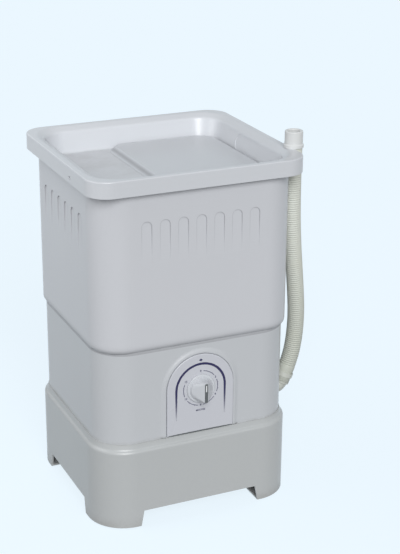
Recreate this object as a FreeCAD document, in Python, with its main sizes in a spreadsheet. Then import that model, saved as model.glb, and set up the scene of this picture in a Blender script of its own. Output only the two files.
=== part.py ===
"""Single-tub washing machine: moulded casings, a belt-driven pulsator, a timer and a drain hose.

Frame: X to the right, Y to the back, Z up; the origin is on the floor under the middle. Millimetres.
"""
import FreeCAD
import Part
import Sketcher
import math
import os
import re

Vector = FreeCAD.Vector

# Driving dimensions: name, size and what it measures
SIZES = {
    # Whole machine
    "overall_width": (460, "rim, left to right"),
    "overall_depth": (432, "rim, front to back"),
    "overall_height": (753, "floor to rim top"),
    "moulded_wall": (4, "wall of the moulded casings"),
    "running_gap": (0.4, "air between pieces that move past each other"),
    "fit_gap": (0.2, "air round a piece in its seat"),
    # Rim, tray and lid
    "rim_skirt": (33, "height of the skirt round the rim"),
    "rim_radius": (46, "corner radius of the rim"),
    "rim_ledge": (12, "flat top of the rim, outside to the brow"),
    "rim_round": (2.5, "rounding of the rim's outer top edge"),
    "brow_inset": (29, "rim outside to the foot of the sloped brow"),
    "brow_drop": (8, "rim top to the foot of the brow"),
    "brow_round": (8, "rounding between the brow and the tray wall"),
    "tray_depth": (53, "rim top to tray floor"),
    "tray_foot_inset": (42, "rim outside to the foot of the tray wall"),
    "tray_corner": (70, "corner radius of the tray at the rim"),
    "tray_fillet": (6, "rounding between tray wall and tray floor"),
    "tray_round": (14, "rounding between the rim's flat top and the brow"),
    "tray_floor": (4, "thickness of the tray floor"),
    "grip_length": (108, "length of the hand-grip recess"),
    "grip_height": (34, "height of the hand-grip recess"),
    "grip_corner": (16, "corner radius of the hand-grip recess"),
    "grip_depth": (1, "depth of the hand-grip recess"),
    "grip_rise": (24, "tray floor to the middle of the hand-grip recess"),
    "lid_reach": (55, "lid's left edge, left of the middle"),
    "lid_rise": (10, "tray floor to the lid's top"),
    "lid_slope": (15, "width of the lid's sloped left edge"),
    "lid_gap": (4, "air between the lid and the tray wall"),
    "lid_corner": (22, "corner radius of the lid on the left"),
    "lid_wall": (3.5, "thickness of the lid's top"),
    "lid_seat": (14, "width of the lid's edge on the tray floor"),
    # Tub
    "tub_inset": (14.5, "rim outside to tub wall"),
    "tub_radius": (68, "corner radius of the tub"),
    "tub_floor": (6, "thickness of the tub floor"),
    "tub_round": (13, "rounding of the tub's lower edge"),
    "tub_foot": (2, "height of the tub's foot below that rounding"),
    "tub_inner_round": (12, "rounding inside the tub, wall to floor"),
    "step_height": (385, "floor to the underside of the tub"),
    "flute_width": (21, "width of one flute"),
    "flute_pitch": (38.5, "flute to flute on the front"),
    "flute_count": (7, "flutes on the front"),
    "side_flute_pitch": (40, "flute to flute on the sides"),
    "side_flute_count": (6, "flutes on each side"),
    "flute_drop": (92, "rim top to the top of the flutes"),
    "flute_length": (88, "length of a flute until it fades out"),
    "flute_depth": (1.8, "depth of a flute at its top"),
    # Lower cabinet and base
    "cabinet_inset": (18.5, "rim outside to cabinet wall"),
    "cabinet_radius": (72, "corner radius of the cabinet"),
    "cabinet_flange": (22, "reach of the cabinet's inner tabs, wall included"),
    "cabinet_tab": (24, "width of the cabinet's inner tabs"),
    "base_inset": (9, "rim outside to base wall"),
    "base_radius": (80, "corner radius of the base"),
    "base_height": (174, "floor to the base's shoulder"),
    "shoulder_rise": (16, "height of the sloped shoulder"),
    "shoulder_ledge": (1.6, "ledge of the shoulder outside the cabinet"),
    "shoulder_step": (5.5, "base wall to the foot of the shoulder's steep part"),
    "shoulder_step_rise": (4.5, "height of the shoulder's flat part"),
    "shoulder_round": (7, "rounding of the shoulder's edge"),
    "shoulder_hollow": (5, "rounding of the shoulder's inner bend"),
    "base_deck": (4, "thickness of the base's deck"),
    "deck_width": (280, "opening in the base's deck, left to right"),
    "deck_depth": (346, "opening in the base's deck, front to back"),
    "deck_clearance": (5, "air between the motor and the back of that opening"),
    "deck_corner": (30, "corner radius of the opening in the deck"),
    "foot_height": (37, "floor to the base's lower edge between the feet"),
    "foot_gap_front": (254, "clear width between the front feet, at the top"),
    "foot_gap_side": (208, "clear width between the side feet, at the top"),
    "foot_spread": (7, "how much wider that gap is at the floor, each side"),
    "sole_thickness": (5, "thickness of the foot's sole"),
    "pad_thickness": (2.5, "height of a foot pad"),
    "pad_radius": (24, "radius of a foot pad"),
    "pad_setback": (50, "base wall to the middle of a foot pad"),
    # Control panel, timer and knob
    "panel_width": (148, "width of the control panel"),
    "panel_lift": (3, "base top to the panel's lower edge"),
    "panel_arch": (94, "underside of the tub down to the middle of the panel's arch"),
    "panel_thickness": (5, "thickness of the panel"),
    "panel_face": (2, "wall of the panel's hollow face"),
    "panel_round": (1.8, "rounding of the panel's front edge"),
    "peg_radius": (3, "radius of the panel's pegs"),
    "peg_spread": (104, "peg to peg"),
    "peg_lift": (22, "panel's lower edge to its pegs"),
    "peg_length": (7, "length of a peg behind the panel"),
    "knob_height": (95, "underside of the tub down to the knob's axis"),
    "knob_radius": (31, "radius of the knob's skirt"),
    "knob_skirt": (4, "thickness of the knob's skirt"),
    "knob_dome_radius": (26, "radius of the knob's drum"),
    "knob_dome": (9, "height of the knob's drum"),
    "blade_width": (8, "width of the grip blade at its front"),
    "blade_length": (43, "length of the grip blade at its front"),
    "blade_height": (28, "knob's back to the top of the blade"),
    "blade_round": (0.8, "rounding of the blade's edges"),
    "knob_crown": (2, "draft of the drum's side"),
    "timer_shaft_radius": (3, "radius of the timer shaft"),
    "timer_grip": (13, "length of the timer shaft in the knob"),
    "timer_width": (60, "width of the timer case"),
    "timer_tall": (56, "height of the timer case"),
    "timer_deep": (34, "depth of the timer case"),
    "timer_bush_radius": (8, "radius of the timer's bush"),
    "timer_bush": (7, "length of the timer's bush"),
    "timer_ear": (10, "width of the timer's ears"),
    # Pulsator and its drive
    "shaft_radius": (7, "radius of the drive shaft"),
    "housing_radius": (23, "radius of the bearing housing"),
    "housing_drop": (98, "length of the bearing housing under the tub"),
    "housing_rise": (3, "height of the housing above the tub floor"),
    "housing_flange_radius": (52, "radius of the housing's flange"),
    "housing_flange": (6, "thickness of the housing's flange"),
    "housing_bolt_circle": (39, "radius of the circle of housing screws"),
    "housing_screw_count": (4, "screws in the housing's flange"),
    "bush_radius": (13, "outer radius of the shaft bushes"),
    "bush_length": (24, "length of a shaft bush"),
    "bush_shoulder": (2.5, "width of the shoulder that the bushes rest on"),
    "bush_clearance": (0.05, "radial clearance of the shaft in its bushes"),
    "seal_thickness": (8, "height of the shaft seal"),
    "pulsator_radius": (140, "radius of the pulsator"),
    "pulsator_gap": (5.5, "tub floor to the pulsator's underside"),
    "pulsator_edge": (6, "thickness of the pulsator's edge"),
    "pulsator_dish": (13, "height of the dish at the hub"),
    "dish_rise": (1, "rise of the dish halfway to the hub"),
    "pulsator_hub_radius": (34, "radius of the pulsator's hub at its foot"),
    "pulsator_nose_radius": (20, "radius of the hub's nose"),
    "pulsator_hub": (44, "height of the hub"),
    "pulsator_waist": (33, "height of the hub's waist"),
    "fin_count": (6, "fins on the pulsator"),
    "fin_thickness": (11, "thickness of a fin"),
    "fin_reach": (130, "middle to the fin's outer end"),
    "fin_inner": (34, "height of a fin at the hub"),
    "fin_outer": (14, "height of a fin at its outer end"),
    "fin_root": (2, "how far a fin starts inside the hub's nose"),
    "fin_tip_drop": (4, "drop of a fin's slanted tip"),
    "fin_tip": (6, "length of a fin's slanted tip"),
    "fin_shoulder": (14, "hub to the bend in a fin's top"),
    "fin_shoulder_drop": (10, "drop of a fin's top to that bend"),
    "bolt_recess": (6, "depth of the screw's seat in the hub"),
    "shaft_bite": (9, "screw's seat to the shaft's end"),
    "shaft_collar_radius": (10, "radius of the shaft's collar above the pulley"),
    "shaft_collar": (4, "height of that collar"),
    "shaft_tail": (2, "length of the shaft below its nut"),
    "screw_head_radius": (4, "head radius of the small screws"),
    "screw_head": (2.2, "head height of the small screws"),
    "screw_radius": (2, "shank radius of the small screws"),
    "bolt_head_radius": (8, "head radius of the pulsator screw"),
    "bolt_head": (5, "head height of the pulsator screw"),
    "bolt_radius": (3, "shank radius of the pulsator screw and motor bolts"),
    "bolt_length": (20, "shank length of the pulsator screw"),
    "pulley_height": (40, "base top to the middle of the belt"),
    "pulley_radius": (75, "radius of the driven pulley"),
    "pulley_width": (18, "width of a pulley's rim"),
    "pulley_rim": (17, "depth of the driven pulley's rim"),
    "pulley_web": (6, "thickness of the driven pulley's web"),
    "pulley_hub_radius": (17, "radius of a pulley's hub"),
    "pulley_hub": (28, "length of the driven pulley's hub"),
    "web_hole_radius": (13, "radius of the holes in the web"),
    "web_hole_circle": (37, "radius of the circle of holes in the web"),
    "web_hole_count": (5, "holes in the web"),
    "groove_depth": (9, "depth of the belt groove"),
    "groove_mouth": (12, "width of the belt groove at its mouth"),
    "groove_foot": (7, "width of the belt groove at its foot"),
    "nut_flats": (22, "width of the pulley nut across its flats"),
    "nut_height": (9, "height of the pulley nut"),
    "belt_sink": (1, "belt's back below the pulley's edge"),
    "belt_height": (6.5, "thickness of the belt"),
    "belt_back": (10.7, "width of the belt's back"),
    "belt_foot": (6.6, "width of the belt's inner face"),
    "motor_pulley_radius": (22, "radius of the motor pulley"),
    "motor_hub_radius": (12, "radius of the motor pulley's hub"),
    "motor_hub": (8, "length of that hub under the pulley"),
    # Motor
    "motor_offset": (112, "drive shaft to motor shaft, towards the back"),
    "motor_radius": (56, "radius of the motor case"),
    "motor_wall": (3, "wall of the motor case"),
    "motor_length": (92, "length of the motor case"),
    "shield_thickness": (9, "thickness of a motor end shield"),
    "stator_bore": (34, "bore radius of the stator"),
    "stator_length": (62, "length of the stator"),
    "winding_wall": (11, "wall of the stator's end windings"),
    "air_gap": (0.6, "air between rotor and stator"),
    "motor_shaft_radius": (6, "radius of the motor shaft"),
    "motor_shaft_step": (1, "step of the motor shaft under its pulley"),
    "rotor_collar": (3, "width and height of the collar under the rotor"),
    "motor_bearing_radius": (14, "outer radius of a motor bearing"),
    "motor_bearing": (7, "width of a motor bearing"),
    "motor_bolt_circle": (44, "radius of the circle of motor bolts"),
    "motor_bolt_count": (4, "motor bolts"),
    "bracket_length": (340, "length of the motor bracket"),
    "bracket_width": (104, "width of the motor bracket"),
    "bracket_sheet": (3, "sheet of the motor bracket"),
    "bracket_corner": (12, "corner radius of the motor bracket"),
    "bracket_hole": (24, "radius of the shaft hole in the bracket"),
    "mount_spread_x": (316, "rubber mount to rubber mount, left to right"),
    "mount_spread_y": (72, "rubber mount to rubber mount, front to back"),
    "mount_radius": (11, "radius of a rubber mount"),
    "mount_height": (8, "height of a rubber mount"),
    # Electrics
    "ledge_offset": (5.75, "middle of the deck's side ledge to the electrics, inwards"),
    "capacitor_place": (60, "middle to the capacitor, towards the front"),
    "capacitor_radius": (17, "radius of the capacitor"),
    "capacitor_length": (70, "length of the capacitor"),
    "clip_wall": (2, "wall of the capacitor clip"),
    "clip_height": (22, "height of the capacitor clip"),
    "clip_tab": (16, "length of the clip's tab"),
    "clip_margin": (3, "clip's tab past its screw head"),
    "terminal_place": (40, "middle to the terminal block, towards the front"),
    "terminal_width": (22, "width of the terminal block"),
    "terminal_length": (54, "length of the terminal block"),
    "terminal_height": (18, "height of the terminal block"),
    "terminal_hole_spread": (40, "screw to screw in the terminal block"),
    "lead_radius": (3.2, "radius of an inner lead"),
    "lead_bend": (22, "largest bend radius of an inner lead"),
    "lead_spread": (5, "lead's place from the middle of the terminal block"),
    "lead_aisle": (6, "deck's opening to the bend of the motor's lead"),
    "lead_clearance": (14, "bracket to the motor's lead"),
    "gland_place": (19.5, "start of the cabinet's rounded corner to the cord gland"),
    "gland_height": (20, "base top to the cord gland"),
    "gland_radius": (9, "radius of the gland's body"),
    "gland_bore": (4.2, "bore radius of the gland"),
    "gland_collar": (13, "radius of the gland's collar"),
    "gland_outside": (28, "length of the gland's strain relief outside the wall"),
    "gland_flange": (5, "thickness of the gland's collar"),
    "gland_tail": (6.6, "radius of the strain relief"),
    "gland_inside": (10, "length of the gland inside the wall"),
    # Back cover
    "cover_width": (200, "width of the back cover"),
    "cover_tall": (128, "height of the back cover"),
    "cover_sheet": (2.5, "thickness of the back cover"),
    "cover_lap": (14, "how far the cover laps over its window"),
    "cover_corner": (12, "corner radius of the back cover"),
    "cover_middle": (4.5, "middle of the cabinet's height up to the middle of the back cover"),
    "vent_length": (130, "length of a vent slot"),
    "vent_width": (5, "width of a vent slot"),
    "vent_pitch": (12, "vent slot to vent slot"),
    "vent_count": (6, "vent slots"),
    # Drain and hose
    "drain_x": (150, "middle to the drain, towards the right"),
    "drain_y": (115, "middle to the drain, towards the front"),
    "strainer_radius": (24, "radius of the strainer"),
    "strainer_sheet": (2, "thickness of the strainer"),
    "strainer_hole": (2.4, "radius of a strainer hole"),
    "strainer_circle": (8, "radius of the ring of strainer holes"),
    "strainer_hole_count": (6, "holes in the ring"),
    "pipe_radius": (15, "outer radius of the drain pipe"),
    "pipe_bore": (12, "bore radius of the drain pipe"),
    "pipe_bend": (30, "bend radius of the drain pipe under the tub"),
    "outlet_bend": (20, "bend radius of the drain pipe at the outlet"),
    "pipe_flange": (4, "thickness of the drain pipe's flange"),
    "outlet_height": (25, "base top to the drain pipe's level run"),
    "outlet_reach": (13.5, "cabinet wall to the corner of the outlet bend"),
    "outlet_tilt": (24, "lean of the outlet from upright, in degrees"),
    "outlet_rise": (15, "corner of the outlet bend to the pipe's end"),
    "outlet_collar": (4, "length of the collar at the pipe's end"),
    "hose_radius": (18, "radius of the hose over its ribs"),
    "hose_valley": (16.6, "radius of the hose between its ribs"),
    "hose_bore": (13.5, "bore radius of the hose"),
    "hose_cuff": (36, "plain length at each end of the hose"),
    "hose_ribs": (96, "ribs on the hose"),
    "hose_stand_off": (2, "air between the hose and the tub wall"),
    "hose_bow": (27.5, "how far the hose bows out from its place at the rim"),
    "hose_first_run": (45, "first run of the hose's route"),
    "hose_last_run": (100, "last run of the hose's route"),
    "hose_setback": (86, "rim's front to the hose's axis at the rim"),
    "hose_notch_gap": (0.6, "air between the hose and its notch in the rim"),
    "clamp_wall": (1.6, "thickness of the hose clamp"),
    "clamp_width": (10, "width of the hose clamp"),
    "clamp_place": (11, "end of the hose to the clamp"),
    "nozzle_radius": (18.6, "radius of the hose's end fitting"),
    "nozzle_collar_radius": (20.5, "radius of the fitting's collar"),
    "nozzle_collar": (6, "height of the fitting's collar"),
    "nozzle_height": (34, "height of the fitting"),
    "nozzle_bore": (12.5, "bore radius of the fitting"),
    "nozzle_round": (2, "rounding of the fitting's mouth"),
    "nozzle_bevel": (1.5, "height of the slope above the fitting's collar"),
    # Screws that hold the casings
    "deck_screw_spread": (178, "skirt screw to skirt screw on the back, and twice the side screws' place"),
    "deck_screw_drop": (22, "rim top to the skirt screws"),
    "boss_radius": (7, "radius of the skirt's screw bosses"),
    "boss_floor": (4, "floor of a screw boss"),
    "casing_screw_inset": (9, "inner face of the casing to its screws"),
    "casing_screw_spread": (208, "casing screw to casing screw, front to back"),
    "screw_tail": (3, "length of a screw past what it holds"),
}

doc = FreeCAD.newDocument("WashingMachine")
sheet = doc.addObject("Spreadsheet::Sheet", "Sizes")
for row, (size_name, (size_value, meaning)) in enumerate(SIZES.items(), start=1):
    sheet.set(f"A{row}", meaning)
    sheet.set(f"B{row}", str(size_value))
    sheet.setAlias(f"B{row}", size_name)
doc.recompute()

# Places that several pieces share, as expressions on the sizes
SKIRT_FOOT = "(overall_height - rim_skirt)"
TRAY_TOP = "(overall_height - tray_depth)"
BROW_FOOT = "(overall_height - brow_drop)"
BROW_LEAN = "((brow_inset - rim_ledge) / brow_drop)"
TRAY_LEAN = "((tray_foot_inset - brow_inset) / (tray_depth - brow_drop))"
TUB_WIDTH = "(overall_width - 2 * tub_inset)"
TUB_DEPTH = "(overall_depth - 2 * tub_inset)"
TUB_REACH = "(tub_inset + 2 * moulded_wall - rim_ledge)"
TUB_TOP = (f"(overall_height - moulded_wall - running_gap"
           f" - max(0; min({TUB_REACH}; brow_inset - rim_ledge)) / {BROW_LEAN}"
           f" - max(0; {TUB_REACH} - brow_inset + rim_ledge) / {TRAY_LEAN})")
TUB_BED = "(step_height + tub_floor)"
CABINET_WIDTH = "(overall_width - 2 * cabinet_inset)"
CABINET_DEPTH = "(overall_depth - 2 * cabinet_inset)"
CABINET_SIDE = "(overall_width / 2 - cabinet_inset)"
CABINET_FRONT = "(overall_depth / 2 - cabinet_inset)"
BASE_WIDTH = "(overall_width - 2 * base_inset)"
BASE_DEPTH = "(overall_depth - 2 * base_inset)"
BASE_TOP = "(base_height + shoulder_rise)"
PANEL_FOOT = "(base_height + shoulder_rise + panel_lift)"
PANEL_ARCH = "(step_height - panel_arch)"
KNOB_Z = "(step_height - knob_height)"
COVER_Z = "((base_height + shoulder_rise + step_height) / 2 + cover_middle)"
OUTLET_Z = "(base_height + shoulder_rise + outlet_height)"
GLAND_X = "(overall_width / 2 - cabinet_inset - cabinet_radius - gland_place)"
GLAND_Z = "(base_height + shoulder_rise + gland_height)"
PULLEY_Z = "(base_height + shoulder_rise + pulley_height)"
LEDGE_X = "((deck_width / 2 + overall_width / 2 - cabinet_inset - moulded_wall) / 2 - ledge_offset)"
DECK_Y = "(motor_offset + motor_radius + deck_clearance - deck_depth / 2)"
CASING_SCREW_X = "(overall_width / 2 - cabinet_inset - moulded_wall - casing_screw_inset)"
PULSATOR_FOOT = "(step_height + tub_floor + pulsator_gap)"
BRACKET_FOOT = "(base_height + shoulder_rise + mount_height)"
MOTOR_TOP = BRACKET_FOOT
PULLEY_HUB_FOOT = f"({PULLEY_Z} - pulley_hub / 2)"
MOTOR_HUB_FOOT = f"({PULLEY_Z} - pulley_width / 2 - motor_hub)"
SHAFT_END = f"({PULLEY_Z} - pulley_hub / 2 - nut_height - shaft_tail)"
BELT_MIDDLE = "(belt_sink + belt_height / 2)"
HOSE_X = "(overall_width / 2 - tub_inset + hose_radius + hose_stand_off)"
HOSE_Y = "(hose_setback - overall_depth / 2)"
CLIP_SCREW_Y = "-capacitor_place + capacitor_radius + clip_wall + clip_tab / 2"
TIMER_EAR_X = "timer_width / 2 + timer_ear / 2"
DECK_SCREW_Z = "overall_height - deck_screw_drop"
# Skirt screws: axis, outward sign, half the rim's size on that axis, and place along the wall
DECK_SCREWS = (("x", -1, "overall_width / 2", "-deck_screw_spread / 2"),
               ("x", 1, "overall_width / 2", "-deck_screw_spread / 2"),
               ("y", 1, "overall_depth / 2", "-deck_screw_spread / 2"),
               ("y", 1, "overall_depth / 2", "deck_screw_spread / 2"))
BROW_CORNER = "(tray_corner - brow_inset + rim_ledge)"
TRAY_FOOT_CORNER = "(tray_corner - tray_foot_inset + rim_ledge)"
LID_RIGHT = "(overall_width / 2 - tray_foot_inset - lid_gap)"
MOUTH_LEFT = "(lid_slope + lid_seat - lid_reach)"
MOUTH_RIGHT = f"({LID_RIGHT} - lid_seat)"
MOUTH_WIDTH = f"({MOUTH_RIGHT} - {MOUTH_LEFT})"
MOUTH_X = f"(({MOUTH_RIGHT} + {MOUTH_LEFT}) / 2)"
MOUTH_DEPTH = "(overall_depth - 2 * tray_foot_inset - 2 * lid_gap - 2 * lid_seat)"
SHAFT_TOP = f"({PULSATOR_FOOT} + pulsator_hub - bolt_recess - shaft_bite)"

nodes = {}


def sized(expression):
    """Put the sheet's name before each size in an expression."""
    return re.sub(r"[a-z_]+", lambda word: "Sizes." * (word.group() in SIZES) + word.group(), expression)


def value(expression):
    """Number that an expression on the sizes gives now."""
    result = sheet.evalExpression(sized(expression))
    return float(getattr(result, "Value", result))


def bind(item, prop, expression):
    """Drive a property by an expression on the sizes."""
    item.setExpression(prop, sized(expression))


def place(item, at):
    """Drive the three coordinates of an object's place."""
    for axis, expression in zip("xyz", at):
        bind(item, f"Placement.Base.{axis}", expression)


def keep(label, item):
    """Name a finished sub-part."""
    item.Label = label
    nodes[label] = item
    return item


# Sketches and PartDesign features

def new_body(name):
    """Empty PartDesign body."""
    return doc.addObject("PartDesign::Body", name)


def new_sketch(body, name, role="XY_Plane", offset="0"):
    """Sketch on one of the body's origin planes, moved along that plane's normal."""
    sketch = body.newObject("Sketcher::SketchObject", f"{body.Name}_{name}")
    plane = next(item for item in body.Origin.OriginFeatures if item.Role == role)
    sketch.AttachmentSupport = (plane, [""])
    sketch.MapMode = "FlatFace"
    bind(sketch, "AttachmentOffset.Base.z", offset)
    return sketch


def limit(sketch, constraint, expression):
    """Add a dimension that is bound to an expression."""
    index = sketch.addConstraint(constraint)
    sketch.renameConstraint(index, f"size{index}")
    bind(sketch, f"Constraints.size{index}", expression)


def pin_point(sketch, geometry, end, at):
    """Fix a sketch point at two expressions from the sketch's origin."""
    for kind, expression in zip(("DistanceX", "DistanceY"), at):
        constraint = Sketcher.Constraint(kind, -1, 1, geometry, end, value(expression))
        limit(sketch, constraint, expression)


def polygon(sketch, points):
    """Closed outline of straight lines through bound points."""
    spots = [Vector(value(x), value(y), 0) for x, y in points]
    count = len(spots)
    lines = [sketch.addGeometry(Part.LineSegment(spots[i], spots[(i + 1) % count])) for i in range(count)]
    for i, line in enumerate(lines):
        sketch.addConstraint(Sketcher.Constraint("Coincident", line, 2, lines[(i + 1) % count], 1))
        pin_point(sketch, line, 1, points[i])
    return sketch


def circle(sketch, radius, at=("0", "0")):
    """Circle with a bound radius and centre."""
    centre = Vector(value(at[0]), value(at[1]), 0)
    ring = sketch.addGeometry(Part.Circle(centre, Vector(0, 0, 1), value(radius)))
    limit(sketch, Sketcher.Constraint("Radius", ring, value(radius)), radius)
    pin_point(sketch, ring, 3, at)
    return sketch


def rounded_rectangle(sketch, width, depth, radius, at=("0", "0"), left_radius=None):
    """Rectangle about a centre, with tangent corner arcs; the left pair may have its own radius."""
    radii = [value(radius), value(radius), value(left_radius or radius), value(left_radius or radius)]
    x, y = value(at[0]), value(at[1])
    half_x, half_y = value(width) / 2, value(depth) / 2
    corners = []
    for (side_x, side_y), r, start in zip(((1, -1), (1, 1), (-1, 1), (-1, -1)), radii, (-90, 0, 90, 180)):
        centre = Vector(x + side_x * (half_x - r), y + side_y * (half_y - r), 0)
        ring = Part.Circle(centre, Vector(0, 0, 1), r)
        arc = Part.ArcOfCircle(ring, math.radians(start), math.radians(start + 90))
        corners.append(sketch.addGeometry(arc))
    arcs = [sketch.Geometry[index] for index in corners]
    sides = []
    for i in range(4):
        line = Part.LineSegment(arcs[i].EndPoint, arcs[(i + 1) % 4].StartPoint)
        sides.append(sketch.addGeometry(line))
    for i in range(4):
        sketch.addConstraint(Sketcher.Constraint("Tangent", corners[i], 2, sides[i], 1))
        sketch.addConstraint(Sketcher.Constraint("Tangent", sides[i], 2, corners[(i + 1) % 4], 1))
    for side, kind in zip(sides, ("Vertical", "Horizontal", "Vertical", "Horizontal")):
        sketch.addConstraint(Sketcher.Constraint(kind, side))
    sketch.addConstraint(Sketcher.Constraint("Equal", corners[0], corners[1]))
    sketch.addConstraint(Sketcher.Constraint("Equal", corners[2], corners[3]))
    limit(sketch, Sketcher.Constraint("Radius", corners[0], radii[0]), radius)
    limit(sketch, Sketcher.Constraint("Radius", corners[2], radii[2]), left_radius or radius)
    edges = (("DistanceX", sides[0], f"{at[0]} + {width} / 2"),
             ("DistanceX", sides[2], f"{at[0]} - {width} / 2"),
             ("DistanceY", sides[1], f"{at[1]} + {depth} / 2"),
             ("DistanceY", sides[3], f"{at[1]} - {depth} / 2"))
    for kind, side, expression in edges:
        limit(sketch, Sketcher.Constraint(kind, -1, 1, side, 1, value(expression)), expression)
    return sketch


def arch(sketch, width, foot, springing):
    """Outline with a flat foot, upright sides and a half-round top."""
    half, low, high = value(width) / 2, value(foot), value(springing)
    spots = [Vector(half, high, 0), Vector(-half, high, 0), Vector(-half, low, 0), Vector(half, low, 0)]
    top = Part.ArcOfCircle(Part.Circle(Vector(0, high, 0), Vector(0, 0, 1), half), 0, math.pi)
    curve = sketch.addGeometry(top)
    lines = [sketch.addGeometry(Part.LineSegment(spots[i], spots[(i + 1) % 4])) for i in (1, 2, 3)]
    sketch.addConstraint(Sketcher.Constraint("Tangent", curve, 2, lines[0], 1))
    sketch.addConstraint(Sketcher.Constraint("Coincident", lines[0], 2, lines[1], 1))
    sketch.addConstraint(Sketcher.Constraint("Coincident", lines[1], 2, lines[2], 1))
    sketch.addConstraint(Sketcher.Constraint("Tangent", lines[2], 2, curve, 1))
    sketch.addConstraint(Sketcher.Constraint("Vertical", lines[0]))
    pin_point(sketch, curve, 3, ("0", springing))
    pin_point(sketch, lines[1], 1, (f"-{width} / 2", foot))
    pin_point(sketch, lines[1], 2, (f"{width} / 2", foot))
    return sketch


def feature(body, kind, sketch, **settings):
    """Feature made from a sketch; text settings are bound, others are set."""
    item = body.newObject(f"PartDesign::{kind}", f"{sketch.Name}_{kind}")
    item.Profile = sketch
    for prop, setting in settings.items():
        if isinstance(setting, str):
            bind(item, prop, setting)
        else:
            setattr(item, prop, setting)
    return item


def pad(body, sketch, length, **settings):
    """Add a prism."""
    item = feature(body, "Pad", sketch, Length=length, **settings)
    doc.recompute()
    return item


def pocket(body, sketch, length, **settings):
    """Cut a prism, and stop if it cuts nothing."""
    doc.recompute()
    before = body.Shape.Volume
    item = feature(body, "Pocket", sketch, Length=length, **settings)
    doc.recompute()
    if body.Shape.Volume > before - 1:
        raise RuntimeError(f"{sketch.Name} cuts nothing")
    return item


def loft(body, kind, first, *others):
    """Add or cut a straight loft through sketches."""
    item = feature(body, kind, first, Ruled=True)
    item.Sections = list(others)
    doc.recompute()
    return item


def revolution(body, sketch):
    """Turn a sketch about its upright axis."""
    item = feature(body, "Revolution", sketch, Angle=360.0)
    item.ReferenceAxis = (sketch, ["V_Axis"])
    doc.recompute()
    return item


def round_edges(body, chosen, radius):
    """Round the body's edges that a test on an edge picks."""
    doc.recompute()
    tip = body.Tip
    names = [f"Edge{i}" for i, edge in enumerate(tip.Shape.Edges, start=1) if chosen(edge)]
    item = body.newObject("PartDesign::Fillet", f"{tip.Name}_Round")
    item.Base = (tip, names)
    bind(item, "Radius", radius)
    doc.recompute()
    return item


def repeat(body, item, kind, axis, **settings):
    """Pattern a feature and make the pattern the body's tip."""
    pattern = body.newObject(f"PartDesign::{kind}", f"{item.Name}_Pattern")
    pattern.Originals = [item]
    if kind == "PolarPattern":
        pattern.Axis = axis
    else:
        pattern.Direction = axis
    for prop, setting in settings.items():
        if isinstance(setting, str):
            bind(pattern, prop, setting)
        else:
            setattr(pattern, prop, setting)
    body.Tip = pattern
    doc.recompute()
    return pattern


def at_height(expression):
    """Test for edges that lie level at a height."""
    level = value(expression)
    return lambda edge: max(abs(edge.BoundBox.ZMin - level), abs(edge.BoundBox.ZMax - level)) < 0.01


def turned(label, points, at=("0", "0", "0")):
    """Sub-part turned about an upright axis from an outline of radius and height."""
    body = new_body(label)
    revolution(body, polygon(new_sketch(body, "outline", "XZ_Plane"), points))
    place(body, at)
    return body


# Part primitives

AXES = {"x": FreeCAD.Rotation(Vector(0, 1, 0), 90), "y": FreeCAD.Rotation(Vector(1, 0, 0), -90),
        "z": FreeCAD.Rotation()}


def cylinder(name, radius, height, at, axis="z"):
    """Round bar that starts at a place and runs along an axis."""
    item = doc.addObject("Part::Cylinder", name)
    bind(item, "Radius", radius)
    bind(item, "Height", height)
    item.Placement = FreeCAD.Placement(Vector(), AXES[axis])
    place(item, at)
    return item


def block(name, size, at):
    """Box from its low corner."""
    item = doc.addObject("Part::Box", name)
    for prop, expression in zip(("Length", "Width", "Height"), size):
        bind(item, prop, expression)
    place(item, at)
    return item


def group(name, items):
    """Separate solids as one object."""
    item = doc.addObject("Part::Compound", name)
    item.Links = items
    return item


def fuse(name, items):
    """Solids joined to one."""
    item = doc.addObject("Part::MultiFuse", name)
    item.Shapes = items
    item.Refine = True
    return item


def cut(name, base, tools):
    """Base with tools taken away."""
    item = doc.addObject("Part::Cut", name)
    item.Base = base
    item.Tool = tools[0] if len(tools) == 1 else group(f"{name}_tools", tools)
    return item


def tube(name, outer, inner, height, at, axis="z"):
    """Round bar with a bore right through."""
    return cut(name, cylinder(f"{name}_outside", outer, height, at, axis),
               [cylinder(f"{name}_inside", inner, height, at, axis)])


def screw(name, at, axis, length, sign=1, head=("screw_head_radius", "screw_head", "screw_radius")):
    """Screw whose shank starts at a place and runs along an axis; its head is on the other side."""
    head_radius, head_height, radius = head
    place_of = dict(zip("xyz", at))
    start = dict(place_of)
    start[axis] = f"{place_of[axis]} - ({head_height})" if sign > 0 else place_of[axis]
    shank = dict(place_of)
    shank[axis] = place_of[axis] if sign > 0 else f"{place_of[axis]} - ({length})"
    return fuse(name, [cylinder(f"{name}_head", head_radius, head_height, list(start.values()), axis),
                       cylinder(f"{name}_shank", radius, length, list(shank.values()), axis)])


def four(name, make, spread_x, spread_y):
    """Four pieces at the corners of a rectangle about the middle."""
    signs = ((-1, -1), (1, -1), (1, 1), (-1, 1))
    return [make(f"{name}{i}", f"{x} * ({spread_x})", f"{y} * ({spread_y})")
            for i, (x, y) in enumerate(signs)]


def on_circle(name, make, count, radius, middle_y="0"):
    """Pieces round a circle about an upright axis."""
    made = []
    for i in range(int(value(count))):
        angle = f"({i} + 0.5) * 360 / {count}"
        made.append(make(f"{name}{i}", f"{radius} * cos({angle})", f"{middle_y} + {radius} * sin({angle})"))
    return made


# Base stand and its pads

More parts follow.
